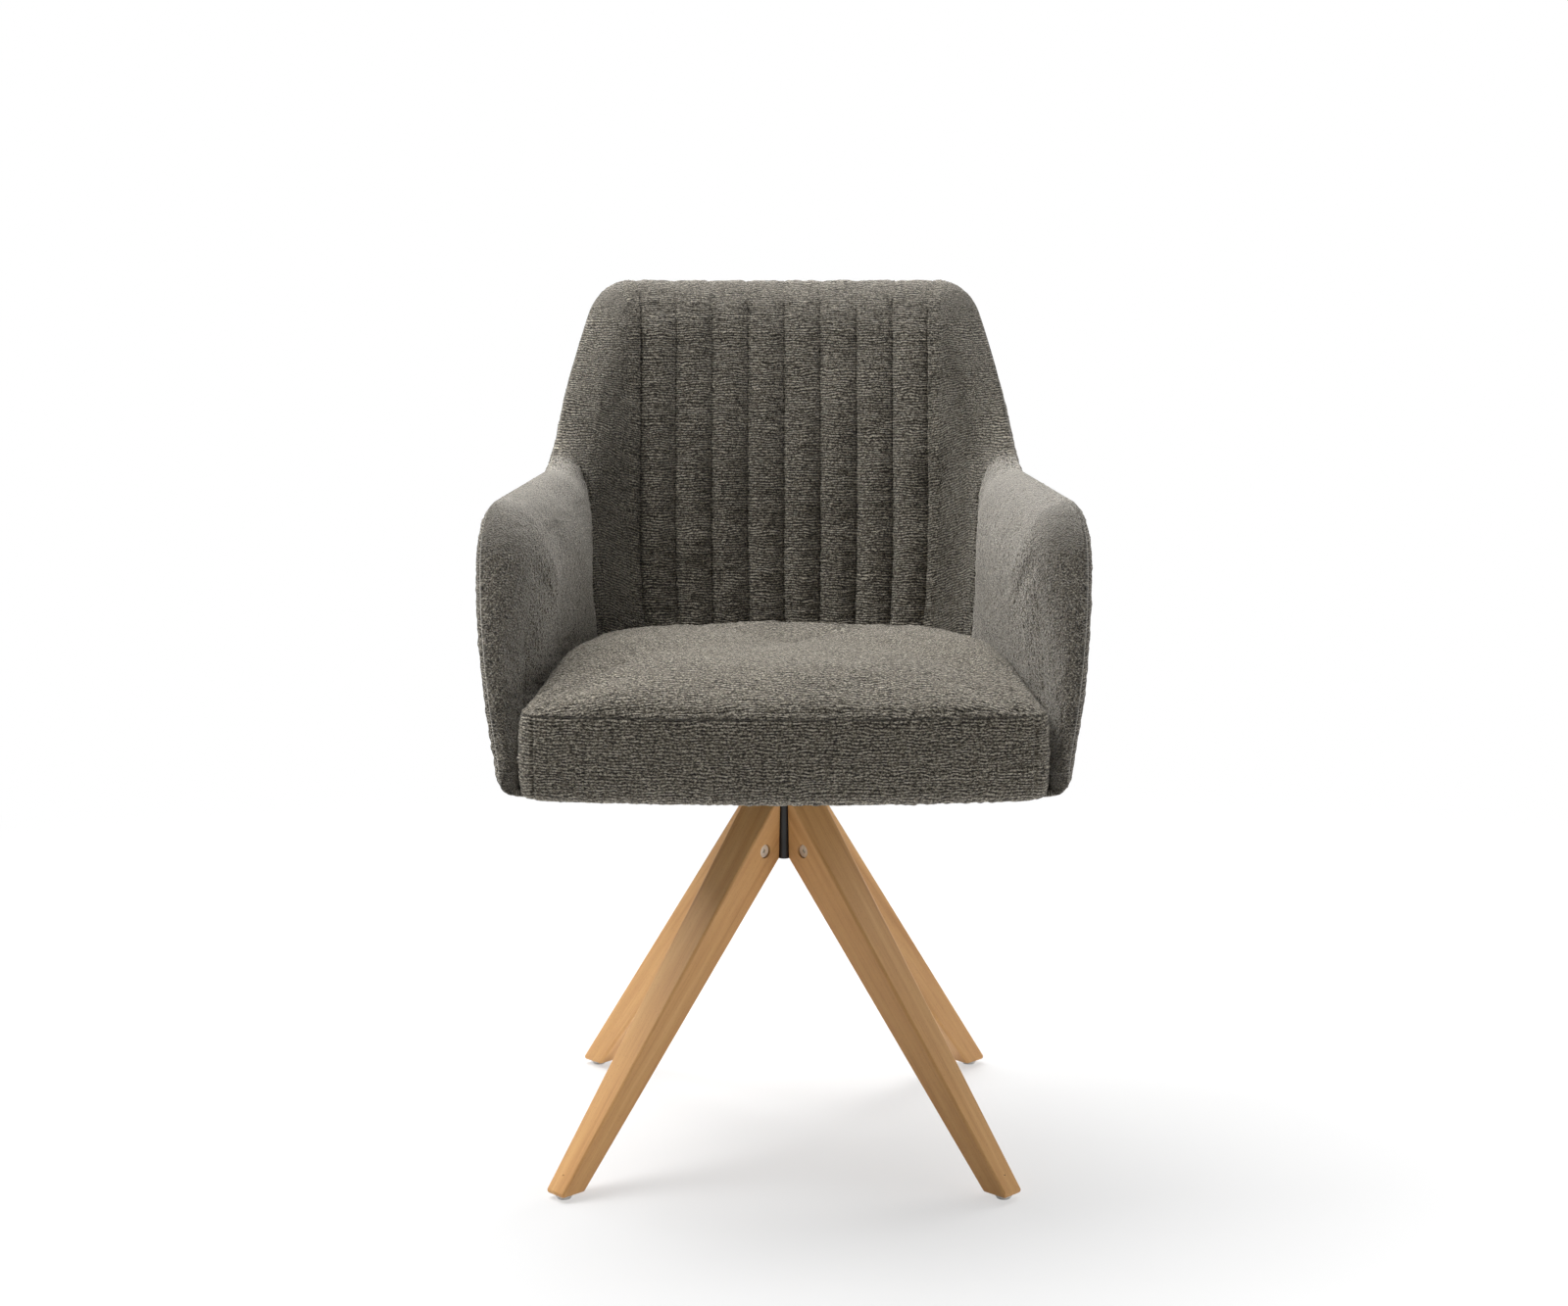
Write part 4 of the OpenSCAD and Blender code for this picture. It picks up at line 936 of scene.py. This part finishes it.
# Outer covers
def cover_loops(rim, foot, seed, edges):
    """Loops of an outer cover, and their cloth coordinates.

    From the seam on the rim over the outside and in under the seat, then back along the inner
    side at the cover's thickness. The outside rounds off towards the rim seam and towards the
    columns in edges, where the covers are sewn to each other.
    """
    angle = np.linspace(SEAM_ANGLE, math.pi / 2, 12)
    near = RIM_OUTER_R * (1 - np.cos(angle))
    s, w, d = paths(rim, foot, near, far_rows=190, lean=0.3)
    inside = round_in(d / RIM_OUTER_R)
    e = rim_rise(rim) * (1 - inside) + 1.3 * np.exp(-((d - near[0]) / 1.5) ** 2)
    for column in edges:
        away = np.abs(s - s[column][None, :])
        pucker = 0.3 * np.exp(-away / 9) * waves(away, w, 20, 9, seed)
        e = e + 2.2 * (1 - round_in(away / 7.0)) + pucker
    e = e - 0.5 * waves(s, w, 120, 140, seed) * smooth((w - BEND_Z) / 60) * inside
    z, depth = skin(w, e)
    under_z, below = skin(w, np.minimum(e + COVER_T, UNDER_R - 2))
    outside = napped(bucket(s, z, depth), seed)
    rows = rows_back(2, s.shape[1] - 1, 26)
    loops = np.concatenate([outside, bucket(s, under_z, below)[:, rows]], axis=1)
    uv = np.stack([s, w], -1)
    return loops, np.concatenate([uv, uv[:, rows], uv[:, rows[-1:]]], axis=1)


loops, uv = cover_loops(back_rim, feet(SKIN_END), 61, (0, -1))
back_cover = piece("outer_back", loop_mesh("outer_back", loops, uv), cloth_cover,
                   ["back_cover"])
for side, seed in (("right", 71), ("left", 81)):
    loops, uv = cover_loops(side_rim, arm_feet(side_rim, SKIN_END, SIDE_END_S - 28), seed, (0,))
    if side == "left":
        loops = mirror_x(loops)
    side_cover = piece("outer_side_" + side, loop_mesh("outer_side_" + side, loops, uv),
                       cloth_cover, ["side_cover_" + side])


# Seat cushion
SEAT_GAP = 1.2
SEAT_CORNER = 19.0
SIDE_SEAM_IN = 8.0
SEAT_GIVE = 7.0
SEAT_CENTRE = np.array([0.0, SEAT_CENTRE_Y])
SEAT_REACH = 290.0
DOME_ROUND = 0.52
BAND_H = SEAT_EDGE_Z - UNDER_Z
OUTLINE_LENGTH = 1720.0
SEAT_HALF_W = float(bucket(ARM_FOOT_S, BEND_Z, ARM_LOW_T + SEAT_GAP)[0])
# Change of the seat's height just inside its seam, by degrees from the middle of its back
LIFT_TURNS = (0, 30, 60, 85, 105, 122, 130, 138, 150, 180)
LIFTS = (-4, -5, -3, 8, 17, 13, 4, -12, -3, 0)


def both_sides(half):
    """Closed line round both sides, from one of the right side."""
    return np.vstack([half, half[-2:0:-1] * np.array([-1.0, 1.0]), half[:1]])


def front_y(x):
    """Front line of the seat: it bows forward as a parabola."""
    return -HALF_DEPTH + FRONT_BOW * (x / SEAT_HALF_W) ** 2


def seat_outline(z, shares):
    """Outline of the seat at height z, from the middle of the back round to the right and on.

    It follows the pads at a small gap, turns a rounded front corner and bows forward along the
    front. Points are at the given shares of its length.
    """
    a = np.linspace(0, ARM_FOOT_S, 300)
    side = bucket(a, z, thickness(a, z) + SEAT_GAP)[:, :2]
    corner = np.array([side[-1, 0], front_y(side[-1, 0])])
    side = side[side[:, 1] > corner[1] + SEAT_CORNER]
    x = np.linspace(corner[0] - SEAT_CORNER, 0, 110)
    front = np.stack([x, front_y(x)], -1)
    t = np.linspace(0, 1, 24)[1:-1, None]
    turn = (1 - t) ** 2 * side[-1] + 2 * t * (1 - t) * corner + t ** 2 * front[0]
    loop = both_sides(np.vstack([side, turn, front]))
    length = line_lengths(loop)
    return np.stack([np.interp(shares * length[-1], length, loop[:, k]) for k in range(2)], -1)


def seat_shares(count):
    """Shares of the seat's outline: evenly spaced, and closer at its upright front seams."""
    even = np.linspace(0, 1, 6000)
    outline = seat_outline(SEAT_EDGE_Z, even)
    x = SEAT_HALF_W - SIDE_SEAM_IN
    beside = np.hypot(np.abs(outline[:, 0]) - x, outline[:, 1] - front_y(x))
    run = np.cumsum(1 + 3 * np.exp(-(beside / 12) ** 2) + 0.5 * (outline[:, 1] < -200))
    return np.interp(np.arange(count) / count * run[-1], run, even)


def seat_top(edge, front, seam_z):
    """Rings of the seat's top from its middle to its seam, and their cloth coordinates.

    The top is a dome: height falls as (1 - u^8)^0.52 from the middle to the seam. A soft fold
    runs above the front seam, and puckers start from it.
    """
    dense = np.linspace(0, 1, 6000)
    height = SEAT_CROWN * (1 - dense ** 8) ** DOME_ROUND
    run = np.concatenate([[0], np.cumsum(np.hypot(np.diff(dense) * SEAT_REACH, np.diff(height)))])
    last = run[-1] - 9
    places = np.concatenate([np.linspace(0, last, 116), run[-1] - 9 * np.linspace(1, 0, 14)[1:]])
    u = np.interp(places, run, dense)[1:, None]
    at = SEAT_CENTRE + (edge - SEAT_CENTRE) * u[..., None]
    turn = np.degrees(np.arctan2(np.abs(edge[:, 0]), edge[:, 1] - SEAT_CENTRE_Y))
    rise = (1 - u ** 8) ** mix(DOME_ROUND, 0.74, np.exp(-((turn - 137) / 9) ** 2))
    lift = np.interp(turn, LIFT_TURNS, LIFTS)
    for _ in range(12):
        lift = evened(lift, True)
    crown = SEAT_EDGE_Z + SEAT_CROWN - 2 + lift * u ** 3 - SEAT_GIVE * (1 - u ** 6)
    top = np.concatenate([at, (seam_z + (crown - seam_z) * rise)[..., None]], -1)
    step = np.linalg.norm(np.diff(top, axis=0), axis=-1)
    first = np.linalg.norm(at[:1] - SEAT_CENTRE, axis=-1)
    arc = np.concatenate([first, step]).cumsum(axis=0)
    from_seam = arc[-1] - arc
    x, y = at[..., 0], at[..., 1]
    soft = 1.5 * waves(x, y, 150, 120, 3) + 0.5 * waves(x, y, 46, 30, 4)
    soft = soft * smooth(from_seam / 30)
    path = from_seam - 7.5 - 1.2 * waves(x, 0 * x, 60, 60, 6)
    fold = -1.3 * np.exp(-(path / 1.9) ** 2) * (0.75 + 0.4 * waves(x, 0 * x, 45, 45, 7))
    seam = -1.8 * np.exp(-(from_seam / 1.7) ** 2)
    pucker = 0.5 * np.exp(-from_seam / 14) * waves(x, from_seam, 12, 26, 8)
    held = (from_seam < 3) | (np.arange(len(u))[:, None] < 2)
    top = top + filled(top, held, (4, 5), towards=(0, 0, 1), wrap=True, cap=9.0)
    top = top - grid_normals(top) * (soft + (fold + pucker) * front + seam)[..., None]
    return top, SEAT_CENTRE + unit(edge - SEAT_CENTRE) * arc[..., None]


def seat_band(edge, front, seam_z, low_z, shares):
    """Rings of the seat's sides from the top seam down, and their cloth coordinates.

    The front band bulges between its seams as a parabola and rounds in at the bottom.
    """
    drop = np.concatenate([np.linspace(0, 6, 9)[1:], np.linspace(6, BAND_H, 33)[1:]])
    drop = drop[:, None] / BAND_H
    bulge = 3.5 * 4 * drop * (1 - drop) * front
    tuck = 9.0 * (1 - round_in((1 - drop) * BAND_H / 10.0))
    tuck = tuck + 1.3 * np.exp(-(drop * BAND_H / 1.8) ** 2)
    level = mix(seam_z, low_z, drop)
    follow = seat_outline(PAD_Z, shares) - edge
    out = unit(edge - SEAT_CENTRE)
    place = edge + follow * (drop * (1 - front))[..., None] + out * (bulge - tuck)[..., None]
    wall = np.concatenate([place, level[..., None]], -1)
    across = np.where(front > 0.5, edge[:, 0], shares * OUTLINE_LENGTH)
    wall_uv = np.stack([np.broadcast_to(across, level.shape), level], -1)
    x, z = wall[..., 0], wall[..., 2]
    beside = np.abs(x) - SEAT_HALF_W + SIDE_SEAM_IN
    side_seam = np.exp(-(beside / 1.5) ** 2) * front
    pucker = 0.9 * np.exp(-np.abs(beside) / 6) * waves(x, z, 24, 8, 10)
    wrinkle = (0.35 * waves(x, z, 90, 16, 9) + pucker) * smooth((1 - drop) * 4)
    return wall - grid_normals(wall) * ((wrinkle - 1.9 * side_seam) * front)[..., None], wall_uv


def seat_loops(count=640):
    """Rings of the cushion, from its crown over the seam and down its sides to its base."""
    shares = seat_shares(count)
    edge = seat_outline(SEAT_EDGE_Z, shares)
    front = smooth((-edge[:, 1] - 215) / 40)
    seam_z = SEAT_EDGE_Z + 11 * smooth((edge[:, 1] + 205) / 110)
    low_z = mix(PAD_Z, UNDER_Z, front)
    top, top_uv = seat_top(edge, front, seam_z)
    wall, wall_uv = seat_band(edge, front, seam_z, low_z, shares)
    narrower = np.array([0.985, 1 - APRON_T / SEAT_REACH])
    inner = SEAT_CENTRE + (seat_outline(PAD_Z, shares) - SEAT_CENTRE) * narrower
    under = np.column_stack([inner, low_z + 0.5])
    above = np.column_stack([inner, np.full(count, PAD_Z)])
    shown = np.concatenate([top, wall])
    apart = np.linalg.norm(np.roll(shown, -1, axis=1) - shown, axis=-1)
    pile = nap(shown.shape[:2][::-1], 91).T * np.clip(apart / 2.4, 0.2, 1)
    shown = shown - grid_normals(shown) * pile[..., None]
    uv = np.concatenate([top_uv, wall_uv, wall_uv[-1:], wall_uv[-1:]])
    uv = np.concatenate([uv, uv[:, :1]], axis=1)
    return np.concatenate([shown, under[None], above[None]]), uv


seat_rings, seat_uv = seat_loops()
seat_pad = piece("seat_padding", loop_mesh("seat_padding", seat_rings, seat_uv), cloth_seat,
                 ["seat_cushion"])


# Thread of the seams
SIDES = 6


def stitches(name, line, length, gap, radius, out, material):
    """Row of short six-sided threads or wires along a line, each bowed up in its middle."""
    run = line_lengths(line)
    count = int(run[-1] // (length + gap))
    start = (np.arange(count) + 0.2) * (length + gap)
    along = np.linspace(0, 1, 5)
    at = start[:, None] + along * length
    path = np.stack([np.interp(at, run, line[:, k]) for k in range(3)], -1)
    ahead = unit(np.gradient(path, axis=1))
    across = unit(np.cross(ahead, unit(np.array(out, float))))
    up = np.cross(across, ahead)
    path = path + up * (radius * np.sin(math.pi * along) - 0.15)[None, :, None]
    g = np.arange(SIDES) * 2 * math.pi / SIDES
    size = radius * (0.35 + 0.65 * np.sin(math.pi * np.clip(along, 0.08, 0.92)))
    ring = (across[:, :, None] * np.cos(g)[:, None] + up[:, :, None] * np.sin(g)[:, None])
    points = (path[:, :, None] + ring * size[None, :, None, None]).reshape(-1, 3)
    each = SIDES * len(along)
    i, j = grid_faces(len(along), SIDES, False, True)
    first = np.arange(count)[:, None] * each
    faces = (first[..., None] + i * SIDES + j % SIDES).reshape(-1, 4).tolist()
    ends = first + np.arange(SIDES)
    faces += ends[:, ::-1].tolist() + (ends + each - SIDES).tolist()
    mesh = bpy.data.meshes.new(name)
    mesh.from_pydata((points / 1000).tolist(), [], faces)
    return piece(name, finish_mesh(mesh, 1e-8), material)


def beside_line(face, distance):
    """Line on the back pad's inner face at a distance from its seam with the right arm."""
    s, z, points = face
    away = beside_seam(s, z)[middle:]
    points = points[middle:]
    after = np.argmax(away < distance, axis=0)
    row = np.arange(s.shape[1])
    before = away[after - 1, row]
    share = ((before - distance) / (before - away[after, row]))[:, None]
    line = mix(points[after - 1, row], points[after, row], share)
    return line[(row > 18) & (line[:, 2] > SEAT_EDGE_Z - 10)]


seam_line = beside_line(back_face, STITCHED_ROW)
for side, line in (("right", seam_line), ("left", mirror_x(seam_line))):
    stitches("seam_thread_" + side, line, length=3.4, gap=1.2, radius=0.32, out=(0, -1, 0.25),
             material=thread)


# Dust cover: black lining stapled under the seat board
LINING_Z = 400.0
HOLE_HALF = 116.0
LINING_COLUMNS = 26
# Distances round the bucket to the lining's front corner, and in from the outside and the front
LINING_CORNER_S = 619
LINING_IN = 39.0
LINING_FRONT_IN = 16


def lining_edges(count):
    """Outer edge of the lining and its square hole, point for point by direction from the axis."""
    a = np.linspace(0, LINING_CORNER_S, 300)
    side = bucket(a, LINING_Z, LINING_IN)[:, :2]
    x = np.linspace(side[-1, 0], 0, 60)[1:]
    loop = both_sides(np.vstack([side, np.stack([x, front_y(x) + LINING_FRONT_IN], -1)]))
    direction = np.unwrap(np.arctan2(loop[:, 0], loop[:, 1]))
    g = direction[0] + np.arange(count) * 2 * math.pi / count
    outer = np.stack([np.interp(g, direction, loop[:, k]) for k in range(2)], -1)
    towards = np.stack([np.sin(g), np.cos(g)], -1)
    square = towards * (HOLE_HALF / np.abs(towards).max(axis=1))[:, None]
    return outer, square


def lining_loops(count=480):
    """Closed loops across the lining: it sags between its edges as a sine, with small pleats."""
    outer, square = lining_edges(count)
    r = np.linspace(0, 1, LINING_COLUMNS)
    flat = mix(square[:, None], outer[:, None], r[None, :, None])
    x, y = flat[..., 0], flat[..., 1]
    sag = (1.2 + 0.5 * waves(x, y, 160, 160, 51)) * np.sin(math.pi * r)
    pleat = 0.25 * waves(x, y, 22, 22, 52) * np.sin(math.pi * np.clip(r * 1.4 - 0.4, 0, 1))
    z = LINING_Z - sag - pleat
    below = np.concatenate([flat, z[..., None]], -1)
    above = below[:, ::-1] + np.array([0, 0, 0.4])
    uv = np.concatenate([flat, flat[:, ::-1], flat[:, :1]], axis=1)
    return np.concatenate([below, above], axis=1), uv


loops, uv = lining_loops()
lining_sheet = piece("dust_lining", loop_mesh("dust_lining", loops, uv, ring=True),
                     FINISHES["felt"], ["dust_cover"])
for name, column in (("staples_edge", LINING_COLUMNS - 2), ("staples_hole", 1)):
    line = np.vstack([loops[:, column], loops[:1, column]]) + np.array([0, 0, -0.2])
    stitches(name, line, length=10.0, gap=30.0, radius=0.45, out=(0, 0, -1),
             material=FINISHES["zinc"])


# Floor, light and camera
WHITE = (1, 1, 1, 1)
# Each lamp: name, place, target, size and watts
LAMPS = (
    ("overhead_left", (-1.4, 0.0, 2.2), (0, 0, 0.5), (1.4, 1.4), 46),
    ("overhead", (-0.2, 0.3, 2.6), (0, 0, 0.4), (2.0, 1.4), 48),
    ("overhead_back", (-0.2, 1.3, 2.6), (0, 0, 0.5), (2.4, 1.2), 48),
    ("back_right", (1.7, 2.0, 1.5), (0, 0, 0.5), (1.2, 1.6), 34),
    ("back_left", (-1.7, 2.0, 1.5), (0, 0, 0.5), (1.2, 1.6), 14),
    ("low_right", (2.3, -1.3, 0.35), (0, 0, 0.2), (1.4, 0.6), 17),
    ("low_left", (-2.3, -1.3, 0.35), (0, 0, 0.2), (1.4, 0.6), 4),
)
# Camera as fitted to the photograph: focal length in pixels of 1600, place, degrees down
FOCAL_PIXELS = 2349
CAMERA_PLACE = (0, -2.295, 0.793)
CAMERA_DOWN = 7.49


def seen_directly(tree):
    """1 where a surface is seen by the camera or in a reflection, 0 where it only gives light."""
    path = add(tree, "ShaderNodeLightPath")
    return math_node(tree, "MAXIMUM", path.outputs["Is Camera Ray"], path.outputs["Is Glossy Ray"])


def mixed_shader(tree, share, first, second):
    """Output of two shaders mixed by a share."""
    return add(tree, "ShaderNodeMixShader", {0: share, 1: first, 2: second}).outputs[0]


def floor_material():
    """Pale studio floor that keeps the chair's soft shadow and runs into white further out."""
    material, tree, shader = new_material("studio_floor")
    connect(tree, shader, {"Base Color": (0.76, 0.76, 0.76, 1), "Roughness": 0.6,
                           "Specular IOR Level": 0.2})
    where = add(tree, "ShaderNodeTexCoord").outputs["Object"]
    distance = add(tree, "ShaderNodeVectorMath", {0: stretched(tree, where, (0.8, 1.0, 1))},
                   operation="LENGTH")
    far = add(tree, "ShaderNodeMapRange", {"Value": distance.outputs["Value"], "From Min": 0.5,
                                           "From Max": 1.9, "To Min": 0.55},
              interpolation_type="SMOOTHSTEP")
    white = add(tree, "ShaderNodeEmission", {"Color": WHITE, "Strength": 1.0})
    share = math_node(tree, "MULTIPLY", far.outputs[0], seen_directly(tree))
    connect(tree, tree.nodes["Material Output"],
            {"Surface": mixed_shader(tree, share, shader.outputs[0], white.outputs[0])})
    return material


floor_mesh = bpy.data.meshes.new("floor")
floor_mesh.from_pydata([(-12, -12, 0), (12, -12, 0), (12, 12, 0), (-12, 12, 0)], [], [(0, 1, 2, 3)])
floor_mesh.materials.append(floor_material())
new_object("floor", floor_mesh)


for name, place, target, size, watts in LAMPS:
    lamp = bpy.data.lights.new(name, "AREA")
    lamp.shape = "RECTANGLE"
    lamp.size, lamp.size_y = size
    lamp.energy = watts
    ob = new_object(name, lamp)
    ob.location = place
    ob.rotation_euler = (Vector(target) - Vector(place)).to_track_quat("-Z", "Y").to_euler()

# The backdrop is white where it is seen and gives only a little light
world = bpy.data.worlds.new("studio")
bpy.context.scene.world = world
world.use_nodes = True
sky = world.node_tree
sky.nodes.clear()
ambient, backdrop = (
    add(sky, "ShaderNodeBackground", {"Color": WHITE, "Strength": strength}).outputs[0]
    for strength in (0.05, 1.0))
add(sky, "ShaderNodeOutputWorld",
    {"Surface": mixed_shader(sky, seen_directly(sky), ambient, backdrop)})

lens = bpy.data.cameras.new("camera")
lens.sensor_width = 36
lens.lens = lens.sensor_width * FOCAL_PIXELS / 1600
lens.clip_end = 60
camera = new_object("camera", lens)
camera.location = CAMERA_PLACE
camera.rotation_euler = (math.radians(90 - CAMERA_DOWN), 0, 0)
bpy.context.scene.camera = camera
bpy.context.scene.view_settings.view_transform = "Standard"
